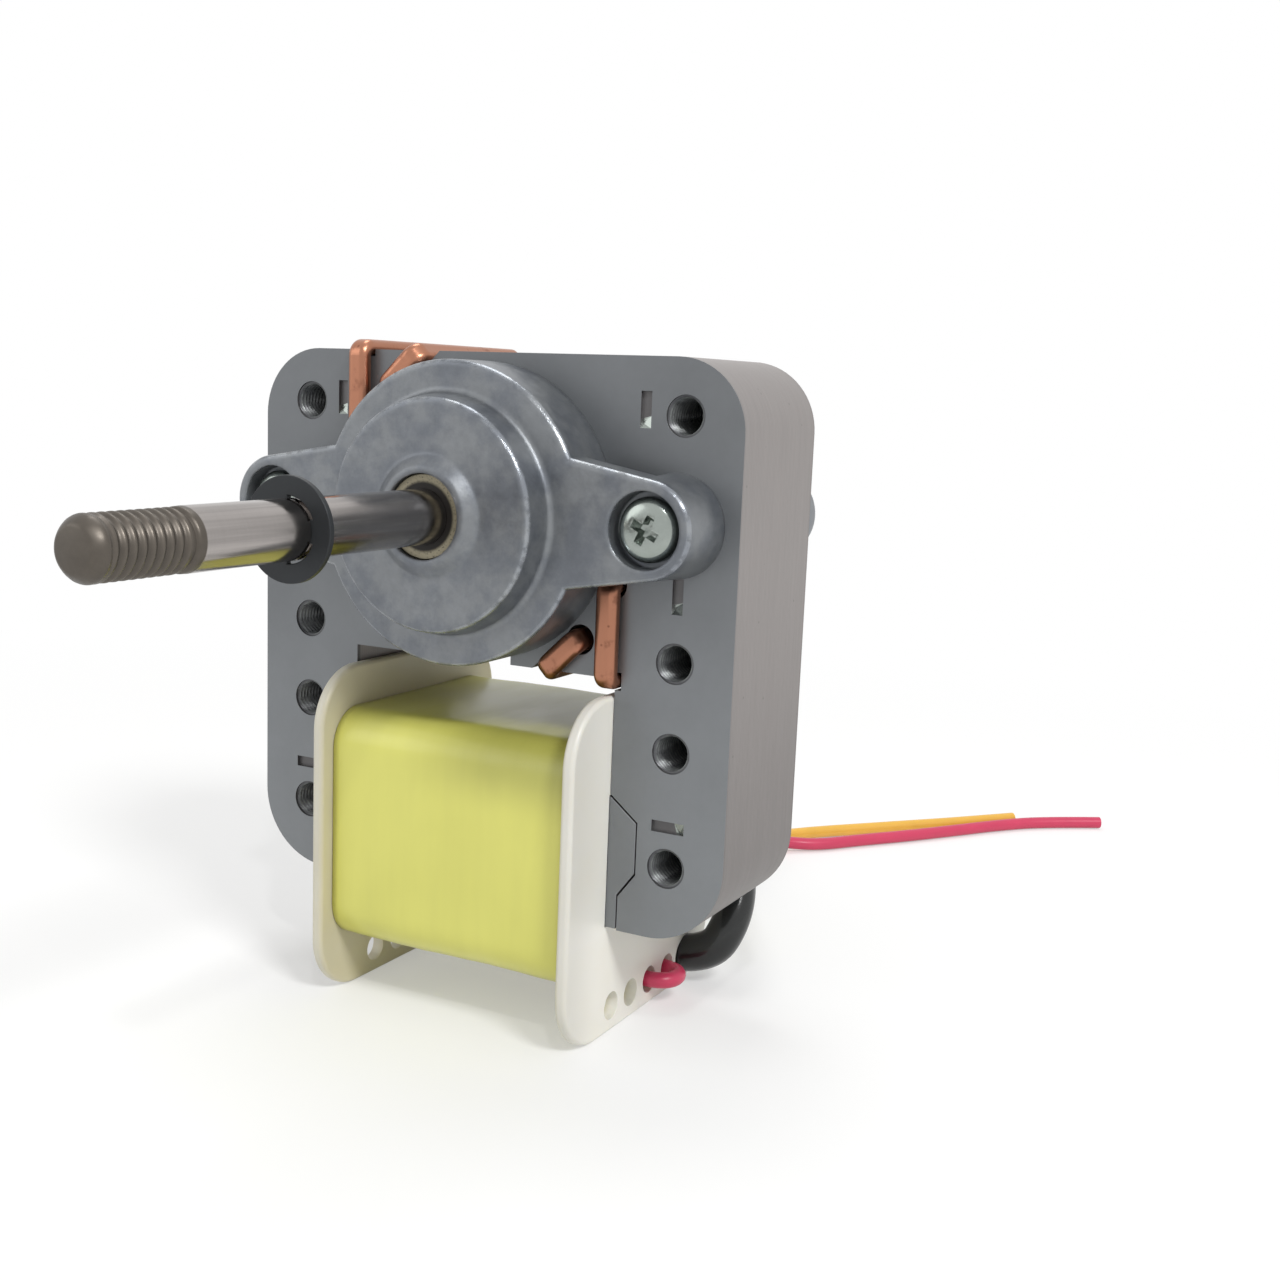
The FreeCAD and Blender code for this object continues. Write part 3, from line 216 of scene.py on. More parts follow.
class Finish:
    """A material: one Principled shader and the Object coordinates its patterns read."""

    def __init__(self, name, shade, **fixed):
        self.material = bpy.data.materials.new(name)
        self.material.use_nodes = True
        tree = self.material.node_tree
        tree.nodes.clear()
        self.node = Out(tree).node
        sockets = {key.replace("_", " ").title(): value for key, value in fixed.items()}
        sockets["Base Color"] = (*shade, 1)
        self.shader = self.node("ShaderNodeBsdfPrincipled", None, sockets)
        self.surface = self.node("ShaderNodeOutputMaterial", None, {"Surface": self.shader})
        self.at = self.node("ShaderNodeTexCoord", output="Object")
        self.x, self.y, self.z = (
            self.node("ShaderNodeSeparateXYZ", None, {0: self.at}, axis) for axis in range(3))
        self.normal = None

    def cloud(self, size, detail=2.0, roughness=0.5, stretch=(1, 1, 1)):
        """Soft noise from 0 to 1 with blots of about that size, in metres."""
        place = self.node("ShaderNodeMapping", None, {"Vector": self.at, "Scale": stretch})
        return self.node("ShaderNodeTexNoise", None,
                         {"Vector": place, "Scale": 1 / size, "Detail": detail,
                          "Roughness": roughness})

    def specks(self, size):
        """The distance from points scattered that far apart, as a share of it."""
        return self.node("ShaderNodeTexVoronoi", None, {"Vector": self.at, "Scale": 1 / size})

    def marked(self, name):
        """What the piece's own vertices hold under that name."""
        return self.node("ShaderNodeAttribute", {"attribute_name": name}, output="Fac")

    def before_stack(self):
        """Distance out of the stack's nearer face, negative inside it."""
        return abs(self.y - MIDDLE) - HALF

    def from_axis(self):
        """Distance from the shaft's axis."""
        rise = self.z - AXIS
        return (self.x * self.x + rise * rise) ** 0.5

    def mix(self, share, first, second):
        """From the first colour to the second as the share goes from 0 to 1."""
        first, second = (c if isinstance(c, Out) else (*c, 1) for c in (first, second))
        # A Mix node's colours are its inputs 6 and 7 and its output 2
        return self.node("ShaderNodeMix", {"data_type": "RGBA"},
                         {0: share, 6: first, 7: second}, 2)

    def shift(self, shade, amount):
        """The colour made lighter or darker by a signed amount that varies."""
        return self.node("ShaderNodeHueSaturation", None,
                         {"Color": shade if isinstance(shade, Out) else (*shade, 1),
                          "Value": 1 + amount})

    def feed(self, name, value):
        """Let what varies over the surface set one of the shader's sockets."""
        self.at.tree.links.new(value.socket, self.shader.socket.node.inputs[name])
        return self

    def relief(self, height, distance, strength=1.0):
        """Bump from a height of 0 to 1 that stands for that distance."""
        sockets = {"Height": height, "Distance": distance, "Strength": strength}
        if self.normal:
            sockets["Normal"] = self.normal
        self.normal = self.node("ShaderNodeBump", None, sockets)
        return self.feed("Normal", self.normal)


def lamination_finish(colours):
    """Punched steel: mottled faces painted darker towards the top, dimple floors painted dark as
    shade, and fine sheet lines on the cut edges, which are painted darker low down.
    """
    steel = Finish("lamination", colours.steel, metallic=0.55, roughness=0.46)
    outward = steel.before_stack()
    ends = outward.step(-0.08 * MM, -0.02 * MM)
    blots = steel.cloud(14 * MM, 4, 0.6)
    fine = steel.cloud(1.2 * MM, 3, 0.6)
    pits = steel.specks(5 * MM).step(0.02, 0.05, 1, 0)
    sheets = steel.node("ShaderNodeTexWave", {"bands_direction": "Y"},
                        {"Vector": steel.at, "Scale": WAVE / SHEET, "Distortion": 0.35,
                         "Detail": 2.0, "Detail Scale": 1.0})
    streaks = steel.cloud(5 * MM, 4, 0.65, (1, 7, 0.5))
    rim = outward.step(-0.7 * MM, -0.1 * MM)
    # Painted shade: the cut edges darker towards the bottom
    low = steel.z.step(AXIS - 60 * MM, AXIS - 5 * MM, -0.28, 0)
    edges = steel.shift(colours.steel_edge,
                        0.2 * (streaks - 0.5) + 0.12 * (blots - 0.5) + 0.06 * (sheets - 0.5)
                        + 0.05 * (fine - 0.5) - 0.14 * rim - 0.3 * pits + low)
    # Painted shade and reflection: the faces darker towards the top and a little lighter low down
    height = steel.z.step(AXIS - 60 * MM, AXIS + 25 * MM, 0.06, -0.2)
    faces = steel.shift(colours.steel, height + 0.26 * (blots - 0.5) + 0.06 * (fine - 0.5))
    # Painted shade: the floors of the interlock dimple recesses darkened with the tapped holes'
    # colour
    painted_dimple_shade = (0.7 * outward.step(-0.85 * MM, -0.65 * MM) * (1 - ends)
               * abs(steel.x).step(DIMPLED_X - SOFT, DIMPLED_X + SOFT, 1, 0)
               * steel.z.step(DIMPLED_Z - SOFT, DIMPLED_Z + SOFT, 1, 0))
    steel.feed("Base Color", steel.mix(painted_dimple_shade, steel.mix(ends, edges, faces), colours.tapped))
    steel.feed("Roughness", 0.5 - 0.1 * ends + 0.16 * (blots - 0.5))
    steel.relief(sheets * (1 - ends), 0.012 * MM, 0.5)
    return steel.relief(fine, 0.004 * MM, 0.6)


def tapped_finish(colours):
    """Oily cut thread whose crests are partly worn bright and partly a painted highlight."""
    cut = Finish("tapped_steel", colours.tapped, metallic=0.4, roughness=0.36)
    # Crests partly worn bright and partly a painted highlight in the zinc tone
    crest = cut.marked("crest") ** 4
    stain = cut.cloud(0.7 * MM, 3, 0.6)
    cut.feed("Base Color", cut.mix(0.7 * crest * stain.step(0.25, 0.65), colours.tapped,
                                   colours.zinc))
    return cut.relief(stain, 0.01 * MM, 0.6)


def casting_finish(colours):
    """Die-cast alloy: cloudy flow marks, a fine skin, and rims worn bright here and there, which
    are also painted glints.
    """
    cast = Finish("casting", colours.casting, metallic=0.7, roughness=0.4)
    cast.normal = cast.node("ShaderNodeBevel", {"samples": 6}, {"Radius": 0.8 * MM})
    flow = cast.cloud(6 * MM, 5, 0.65)
    veins = cast.cloud(1.8 * MM, 5, 0.7)
    skin = cast.cloud(0.35 * MM, 2, 0.5)
    outward = cast.before_stack()
    skirt_rim, dome_rim = (outward.step(face - 0.85 * MM, face - 0.6 * MM)
                           * outward.step(face - 0.15 * MM, face - 0.03 * MM, 1, 0)
                           for face in (SKIRT_FACE, DOME_FACE))
    # Painted glints: rims made brighter and glossier in broken patches, partly standing for wear
    rims_worn_and_painted_glints = (skirt_rim + dome_rim) * veins.step(0.4, 0.52)
    tone = cast.mix(flow.step(0.36, 0.62), colours.casting_cool, colours.casting)
    cast.feed("Base Color", cast.shift(tone, 0.24 * (flow - 0.5) + 0.4 * (veins - 0.5)
                                       + 0.5 * rims_worn_and_painted_glints))
    cast.feed("Roughness", 0.37 + 0.2 * (flow - 0.5) + 0.2 * (veins - 0.5) - 0.22 * rims_worn_and_painted_glints)
    cast.relief(veins, 0.05 * MM, 0.5)
    return cast.relief(skin, 0.012 * MM, 0.8)


def nylon_finish(colours):
    """Moulded nylon that light sinks into a little, with painted shade: darker and warmer between
    the flanges and on the left, and darker towards the front.
    """
    nylon = Finish("nylon", colours.nylon, roughness=0.42, subsurface_weight=0.12,
                   subsurface_radius=(1.0, 0.8, 0.5), subsurface_scale=0.8 * MM)
    cloudy = nylon.cloud(11 * MM, 3, 0.5)
    fine = nylon.cloud(0.6 * MM, 2, 0.5)
    # Painted shade: darker, warmer nylon between the flanges and on the left flange
    inside = abs(nylon.x).step(20.6 * MM, 22.4 * MM, 1, 0)
    left = nylon.x.step(-24 * MM, -18 * MM, 0.5, 0)
    warm_and_painted_shade = (inside * 0.8 + left + 0.35 * (cloudy - 0.35)).top(0)
    # Painted shade: the flanges darker near their front face
    front = nylon.y.step(BOBBIN_LOW.y + 0.3 * MM, BOBBIN_LOW.y + 11 * MM, 1, 0)
    nylon.feed("Base Color", nylon.shift(nylon.mix(warm_and_painted_shade, colours.nylon, colours.nylon_warm_painted_shade),
                                         0.07 - 0.2 * front))
    nylon.feed("Roughness", 0.4 + 0.14 * (cloudy - 0.5))
    return nylon.relief(fine, 0.008 * MM, 0.7)


def tape_finish(colours):
    """Polyester film tape: faint bands of the winding, a shallow hollow at the top right with a
    painted shadow over it, and painted shade along the bottom edge.
    """
    tape = Finish("tape", colours.tape, roughness=0.36, coat_roughness=0.2)
    broad = tape.cloud(16 * MM, 3, 0.5)
    bands = tape.cloud(2.2 * MM, 2, 0.5, (1, 0.12, 0.12))
    creases = tape.cloud(5 * MM, 4, 0.6, (1, 0.3, 0.3))
    # Painted shadow of the casting over a shallow hollow at the top right of the tape
    dent_and_painted_shadow = (tape.x.step(-12 * MM, 10 * MM)
            * tape.z.step(TAPE_HIGH.z - 13 * MM, TAPE_HIGH.z - 3 * MM))
    # Painted shade along the bottom edge of the tape
    painted_bottom_shade = tape.z.step(TAPE_LOW.z + 1.0 * MM, TAPE_LOW.z + 2.2 * MM, 1, 0)
    tape.feed("Base Color", tape.shift(colours.tape, 0.16 * (broad - 0.5) + 0.07 * (bands - 0.5)
                                       - 0.42 * dent_and_painted_shadow - 0.12 * painted_bottom_shade))
    tape.feed("Roughness", 0.36 + 0.18 * (creases - 0.5))
    tape.feed("Coat Weight", 0.3 + 0.3 * (broad - 0.5))
    tape.relief(1 - dent_and_painted_shadow, 0.9 * MM, 0.5)
    tape.relief(bands, 0.05 * MM, 0.5)
    return tape.relief(creases, 0.12 * MM, 0.5)


def copper_finish(colours):
    """Drawn copper strap with dull spots and drawing lines."""
    copper = Finish("copper", colours.copper, metallic=0.95, roughness=0.32)
    dull = copper.cloud(2.6 * MM, 4, 0.62).step(0.52, 0.72)
    dots = copper.specks(1.9 * MM).step(0.05, 0.16, 1, 0)
    lines = copper.cloud(0.5 * MM, 2, 0.5, (1, 1, 0.12))
    worn = (dull * 0.55 + dots * 0.7).step(0, 1)
    copper.feed("Base Color", copper.mix(worn, colours.copper, colours.tarnish))
    copper.feed("Roughness", 0.3 + 0.22 * worn + 0.08 * (lines - 0.5))
    copper.relief(lines, 0.012 * MM, 0.5)
    return copper.relief(1 - dots, 0.03 * MM, 0.5)


def shaft_finish(colours):
    """Ground steel with fine rings of grinding and drawn lines that also stand for painted
    reflection streaks, dull and brown on the thread.
    """
    steel = Finish("ground_steel", colours.ground, metallic=1.0, roughness=0.2)
    rings = steel.cloud(0.22 * MM, 3, 0.6, (0.02, 1, 0.02))
    # Painted reflection: streaks along the shaft, standing in as drawn lines
    lines = steel.cloud(1.4 * MM, 3, 0.6, (1, 0.02, 1)).step(0.3, 0.7)
    film = steel.cloud(7 * MM, 3, 0.5)
    thread = steel.y.step(FRONT + (THREAD_END + 2.1) * MM, FRONT + (THREAD_END + 2.3) * MM, 1, 0)
    stain = steel.cloud(1.6 * MM, 3, 0.6)
    polished = steel.shift(colours.ground, 0.12 * (rings - 0.5) + 0.1 * (film - 0.5)
                           + 0.34 * (lines - 0.5))
    rolled = steel.shift(colours.thread, 0.4 * (stain - 0.5)
                         + 0.36 * (steel.marked("crest") - PLAIN_CREST))
    steel.feed("Base Color", steel.mix(thread, polished, rolled))
    steel.feed("Roughness", 0.19 + 0.08 * (film - 0.5) + 0.12 * (0.5 - lines) + 0.21 * thread)
    steel.feed("Metallic", 1 - 0.4 * thread)
    return steel.relief(rings, 0.002 * MM, 0.6)


def plain_metal(name, shade, metallic, roughness, grain, depth):
    """A metal with a mottled tone and a fine grain of that size and depth."""
    metal = Finish(name, shade, metallic=metallic, roughness=roughness)
    mottle = metal.cloud(grain * 7, 3, 0.6)
    fine = metal.cloud(grain, 2, 0.5)
    metal.feed("Base Color", metal.shift(shade, 0.3 * (mottle - 0.5) + 0.1 * (fine - 0.5)))
    metal.feed("Roughness", roughness + 0.16 * (mottle - 0.5))
    return metal.relief(fine, depth, 0.7)


def bronze_finish(colours):
    """Oil-soaked bronze, painted dark near the bore as oil and as shade in the gap round the
    shaft, bronze only round the edge of its face.
    """
    bronze = Finish("bronze", colours.bronze, metallic=0.5, roughness=0.42)
    pores = bronze.cloud(0.3 * MM, 3, 0.6)
    out = bronze.from_axis()
    # Painted shade: dark oil colour near the bore, bronze only out towards the face's edge
    bronze_clean_and_unshaded = out.step(4.7 * MM, 5.3 * MM) * pores.step(0.2, 0.5)
    bronze.feed("Base Color", bronze.mix(bronze_clean_and_unshaded, colours.oil, colours.bronze))
    return bronze.relief(pores, 0.03 * MM, 0.7)


def cover_finish(name, shade, roughness=0.36):
    """Extruded wire cover with faint lengthwise drag and dust."""
    cover = Finish(name, shade, roughness=roughness)
    drag = cover.cloud(0.5 * MM, 2, 0.5, (0.3, 0.3, 1))
    soft = cover.cloud(8 * MM, 2, 0.5)
    cover.feed("Base Color", cover.shift(shade, 0.22 * (soft - 0.5) + 0.08 * (drag - 0.5)))
    cover.feed("Roughness", roughness + 0.14 * (soft - 0.5))
    return cover.relief(drag, 0.02 * MM, 0.4)


def soft_finish(name, shade, size, depth):
    """Felt or pressed fibre."""
    soft = Finish(name, shade, roughness=0.9)
    hairs = soft.cloud(size, 4, 0.7)
    soft.feed("Base Color", soft.shift(shade, 0.5 * (hairs - 0.5)))
    return soft.relief(hairs, depth, 1.0)


def dress(finish, *nodes):
    """Give CAD nodes a finish."""
    for node in nodes:
        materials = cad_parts[node].data.materials
        materials.clear()
        materials.append(finish.material)


def piece(name, mesh, finish, body, slot, *nodes):
    """A finished object at the origin that rides on a body and may stand for CAD nodes."""
    thing = bpy.data.objects.new(name, mesh)
    bpy.context.scene.collection.objects.link(thing)
    thing.data.materials.clear()
    thing.data.materials.append(finish.material)
    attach(thing, body)
    if nodes:
        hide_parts(*nodes)
    return thing


def mesh_from(shape, name, sharp=35):
    """A mesh with its flat angles shaded smooth and its sharp ones left sharp."""
    mesh = bpy.data.meshes.new(name)
    shape.to_mesh(mesh)
    shape.free()
    if "custom_normal" in mesh.attributes:
        mesh.attributes.remove(mesh.attributes["custom_normal"])
    mesh.shade_smooth()
    mesh.set_sharp_from_angle(angle=math.radians(sharp))
    return mesh


def merged(node):
    """A copy of a CAD node's mesh, its triangles joined."""
    shape = bmesh.new()
    shape.from_mesh(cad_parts[node].data)
    bmesh.ops.remove_doubles(shape, verts=shape.verts, dist=0.002 * MM)
    return shape


def edge_bevelled(node, finish, body, slot, width, sharp=30):
    """A CAD node's shape with a small rounding along its sharp edges."""
    shape = merged(node)
    bmesh.ops.dissolve_limit(shape, angle_limit=math.radians(0.5), verts=shape.verts,
                             edges=shape.edges)
    thing = piece(node + "_finished", mesh_from(shape, node + "_finished", sharp), finish, body,
                  slot, node)
    bevel = thing.modifiers.new("worn_edges", "BEVEL")
    bevel.width = width
    bevel.segments = 2
    bevel.limit_method = "ANGLE"
    bevel.angle_limit = math.radians(sharp)
    bevel.use_clamp_overlap = True
    bevel.harden_normals = True
    return thing


def chain(shape, points):
    """A line of vertices joined by edges."""
    made = [shape.verts.new(p) for p in points]
    return made + [shape.edges.new(pair) for pair in zip(made, made[1:])]


def closed(shape):
    """Join the vertices that meet and turn the faces outwards."""
    bmesh.ops.remove_doubles(shape, verts=shape.verts, dist=0.001 * MM)
    bmesh.ops.recalc_face_normals(shape, faces=shape.faces)


def turned(shape, geometry, steps, centre=(0, 0, AXIS)):
    """Turn geometry full circle about a line along Y and close the seam and the poles."""
    bmesh.ops.spin(shape, geom=geometry, cent=centre, axis=(0, 1, 0), angle=math.tau,
                   steps=steps, use_merge=True)
    closed(shape)


class MOTOR_OT_shaft(bpy.types.Operator):
    """Turn the shaft from its profile and roll the thread into it"""
    bl_idname = "motor.shaft"
    bl_label = "Threaded shaft"

    def execute(self, context):
        sizes, colours = context.scene.motor_sizes, context.scene.motor_colours
        finish = shaft_finish(colours)
        tip, tail, radius = SHAFT_TIP, (SHAFT_HIGH.y - FRONT) / MM, SHAFT_R / MM
        groove_near, groove_far, groove_r = -45.9, -44.9, 3.5
        start, end, thread_r, rows_a_pitch = tip + 1.7, THREAD_END, 3.9, 11
        rows = math.ceil((end - start) * MM / sizes.thread_pitch * rows_a_pitch)
        profile = [(tip, 0), (tip, 2.5), (tip + 0.08, 2.75), (tip + 0.3, 3.05),
                   (tip + 0.75, 3.45), (tip + 1.2, 3.75), (tip + 1.5, 3.86)]
        profile += [(start + (end - start) * i / rows, thread_r) for i in range(rows + 1)]
        profile += [(end + 0.1, 3.6), (end + 0.25, 3.46), (end + 0.9, 3.46), (end + 1.05, 3.62),
                    (end + 1.2, 3.85), (end + 1.45, 3.93), (end + 2.0, 3.93),
                    (end + 2.3, radius), (groove_near, radius), (groove_near, groove_r),
                    (groove_far, groove_r), (groove_far, radius), (tail - 0.6, radius),
                    (tail, radius - 0.6), (tail, 0)]
        shape = bmesh.new()
        turned(shape, chain(shape, [row(0, y, r) for y, r in profile]), sizes.facets)
        low, high = FRONT + (start + 0.1) * MM, FRONT + (end + 0.1) * MM
        fade_in, fade_out = 1.6 * MM, 0.7 * MM
        layer = shape.verts.layers.float.new("crest")
        for vertex in shape.verts:
            out = Vector((vertex.co.x, 0, vertex.co.z - AXIS))
            vertex[layer] = PLAIN_CREST
            if not low < vertex.co.y < high:
                continue
            turn = math.atan2(out.x, out.z) / math.tau
            phase = (vertex.co.y / sizes.thread_pitch + turn) % 1
            flank = 0.5 - 0.5 * math.cos(math.tau * phase)
            fade = min(1, (vertex.co.y - low) / fade_in, (high - vertex.co.y) / fade_out)
            cut = flank * fade
            vertex.co -= out.normalized() * sizes.thread_deep * cut
            vertex[layer] = 1 - cut
        piece("shaft_threaded", mesh_from(shape, "shaft_threaded", 40), finish, "rotor",
              "ground_steel", "shaft")
        return {"FINISHED"}


class MOTOR_OT_clip(bpy.types.Operator):
    """Round the edges of the retaining clip"""
    bl_idname = "motor.clip"
    bl_label = "Retaining clip"

    def execute(self, context):
        colours = context.scene.motor_colours
        finish = plain_metal("black_steel", colours.black, 0.35, 0.42, 0.3 * MM, 0.006 * MM)
        edge_bevelled("e_clip", finish, "rotor", "black_steel", 0.14 * MM)
        return {"FINISHED"}


class MOTOR_OT_stack(bpy.types.Operator):
    """Finish the lamination stack and the yoke, and tap the mounting holes"""
    bl_idname = "motor.stack"
    bl_label = "Lamination stack"

    def execute(self, context):
        sizes, colours = context.scene.motor_sizes, context.scene.motor_colours
        finish = lamination_finish(colours)
        for node in ("stator_core", "yoke_core"):
            edge_bevelled(node, finish, "stator", "lamination", sizes.edge)
        piece("tapped_threads", mesh_from(self.tapped(sizes), "tapped_threads", 50),
              tapped_finish(colours), "stator", "lamination")
        self.ramps(colours)
        return {"FINISHED"}

    def tapped(self, sizes):
        """The cut threads at both ends of all mounting holes."""
        wall, thread, inset = 2.99 * MM, 12 * MM, 0.3 * MM
        pitch, rows_a_pitch = sizes.tapped_pitch, 6
        shape = bmesh.new()
        for near in (FRONT + inset, BACK - inset - thread):
            along = [near + pitch * i / rows_a_pitch
                     for i in range(int(thread / pitch * rows_a_pitch))]
            inner = [Vector((0, y, AXIS + wall - 0.02 * MM)) for y in along]
            outer = [Vector((0, y, AXIS + wall)) for y in (along[0], along[-1])]
            line = chain(shape, [outer[0], *inner, outer[1]])
            line.append(shape.edges.new((line[len(inner) + 1], line[0])))
            turned(shape, line, 32)
        layer = shape.verts.layers.float.new("crest")
        for vertex in shape.verts:
            out = Vector((vertex.co.x, 0, vertex.co.z - AXIS))
            if out.length < wall - 0.01 * MM:
                turn = math.atan2(out.x, out.z) / math.tau
                crest = 0.5 + 0.5 * math.cos(math.tau * (vertex.co.y / pitch + turn))
                vertex.co -= out.normalized() * sizes.tapped_deep * crest
                vertex[layer] = crest
        first = shape.verts[:]
        whole = first + shape.edges[:] + shape.faces[:]
        for side in (-1, 1):
            for height in TAPPED_Z:
                made = bmesh.ops.duplicate(shape, geom=whole)["geom"]
                bmesh.ops.translate(shape, vec=(side * TAPPED_X * MM, 0, height * MM),
                                    verts=[v for v in made if isinstance(v, bmesh.types.BMVert)])
        bmesh.ops.delete(shape, geom=first, context="VERTS")
        return shape

    def ramps(self, colours):
        """The slope at one end of each interlock dimple, bright as sheared steel and with a
        painted glint.
        """
        wide, deep, tall, cut = 1.7 * MM, 0.55 * MM, 1.3 * MM, 0.5 * MM
        sunk, below = 0.325 * MM, 1.95 * MM
        shape = bmesh.new()
        for x, z, turn in DIMPLES:
            for side in (-1, 1):
                made = bmesh.ops.create_cube(shape, size=1)["verts"]
                bmesh.ops.transform(shape, matrix=Matrix.Translation((0, sunk, -below))
                                    @ Matrix.Diagonal((wide, deep, tall, 1)), verts=made)
                for vertex in made:
                    if vertex.co.z > -below and vertex.co.y < sunk:
                        vertex.co.y += cut
                        vertex.co.z += cut * math.copysign(1, vertex.co.x)
                bmesh.ops.transform(shape, matrix=Matrix.Translation(row(side * x, 0, z))
                                    @ Matrix.Rotation(-turn, 4, "Y"), verts=made)
        # The zinc tone is a painted glint on the sheared steel of the slope
        finish = plain_metal("sheared_steel_painted_glint", colours.zinc, 0.9, 0.24, 0.5 * MM, 0.01 * MM)
        piece("dimple_ramps", mesh_from(shape, "dimple_ramps"), finish, "stator", "lamination")


class MOTOR_OT_castings(bpy.types.Operator):
    """Finish the die-cast end brackets"""
    bl_idname = "motor.castings"
    bl_label = "End brackets"

    def execute(self, context):
        finish = casting_finish(context.scene.motor_colours)
        dress(finish, "front_bracket", "rear_bracket")
        return {"FINISHED"}


class MOTOR_OT_screws(bpy.types.Operator):
    """Model the two pan-head screws with their cross recesses"""
    bl_idname = "motor.screws"
    bl_label = "Bracket screws"

    def execute(self, context):
        colours = context.scene.motor_colours
        finish = plain_metal("zinc_plate", colours.zinc, 0.95, 0.22, 0.5 * MM, 0.008 * MM)
        head, shank_r, tip_r = 3.0 * MM, 2.4 * MM, 1.8 * MM
        for name, turn in (("right", 0.47), ("left", 0.2)):
            node = "bracket_screw_" + name
            low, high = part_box(node)
            centre = Vector(((low.x + high.x) / 2, 0, AXIS))
            top, seat = low.y, low.y + head
            profile = [(top, 0), (top + 0.02 * MM, 1.6 * MM), (top + 0.15 * MM, 2.8 * MM),
                       (top + 0.42 * MM, 3.6 * MM), (top + 0.85 * MM, 4.2 * MM),
                       (top + 1.5 * MM, 4.53 * MM), (top + 2.3 * MM, 4.6 * MM),
                       (seat - 0.1 * MM, 4.55 * MM), (seat, 4.4 * MM), (seat, shank_r),
                       (high.y - 0.6 * MM, shank_r), (high.y, tip_r), (high.y, 0)]
            shape = bmesh.new()
            turned(shape, chain(shape, [centre + Vector((0, y, r)) for y, r in profile]), 48,
                   centre)
            screw = piece(node + "_finished", mesh_from(shape, node + "_finished", 40), finish,
                          "stator", "zinc_plate", node)
            self.recess(screw, centre + Vector((0, top, 0)), turn)
        return {"FINISHED"}

    def recess(self, screw, mouth, turn):
        """Cut a tapered cross into the head and round its rims."""
        wide, deep, thick = 6.0 * MM, 3.6 * MM, 1.6 * MM
        narrowed, thinned = 0.42, 0.62
        tool_shape = bmesh.new()
        for arm in (turn, turn + math.pi / 2):
            made = bmesh.ops.create_cube(tool_shape, size=1)["verts"]
            bmesh.ops.transform(tool_shape, matrix=Matrix.Diagonal((wide, deep, thick, 1)),
                                verts=made)
            for vertex in made:
                if vertex.co.y > 0:
                    vertex.co.x *= narrowed
                    vertex.co.z *= thinned
            place = Matrix.Translation(mouth) @ Matrix.Rotation(arm, 4, "Y")
            bmesh.ops.transform(tool_shape, matrix=place, verts=made)
        tool = bpy.data.objects.new("cross_tool", mesh_from(tool_shape, "cross_tool"))
        bpy.context.scene.collection.objects.link(tool)
        cut = screw.modifiers.new("recess", "BOOLEAN")
        cut.object, cut.operation, cut.solver = tool, "DIFFERENCE", "EXACT"
        cut.use_self = True
        bpy.context.view_layer.update()
        view = bpy.context.evaluated_depsgraph_get()
        done = bpy.data.meshes.new_from_object(screw.evaluated_get(view))
        screw.modifiers.clear()
        old, screw.data = screw.data, done
        done.name = old.name + "_cut"
        bpy.data.objects.remove(tool)
        shape = bmesh.new()
        shape.from_mesh(done)
        shortest, flattest, reach, rounding = 0.25 * MM, math.radians(38), 3.2 * MM, 0.13 * MM
        rims = [e for e in shape.edges if e.calc_length() > shortest
                and e.calc_face_angle(0) > flattest and (e.verts[0].co - mouth).length < reach]
        bmesh.ops.bevel(shape, geom=rims, offset=rounding, offset_type="OFFSET", segments=2,
                        profile=0.5, affect="EDGES", material=-1, clamp_overlap=True)
        shape.to_mesh(done)
        shape.free()
        done.shade_smooth()
        done.set_sharp_from_angle(angle=math.radians(40))


class MOTOR_OT_rings(bpy.types.Operator):
    """Finish the four copper shading rings"""
    bl_idname = "motor.rings"
    bl_label = "Shading rings"

    def execute(self, context):
        finish = copper_finish(context.scene.motor_colours)
        dress(finish, *("shading_ring_" + place for place in (
            "lower_outer", "lower_inner", "upper_outer", "upper_inner")))
        return {"FINISHED"}


class MOTOR_OT_bobbin(bpy.types.Operator):
    """Finish the moulded bobbin"""
    bl_idname = "motor.bobbin"
    bl_label = "Bobbin"

    def execute(self, context):
        dress(nylon_finish(context.scene.motor_colours), "bobbin")
        return {"FINISHED"}


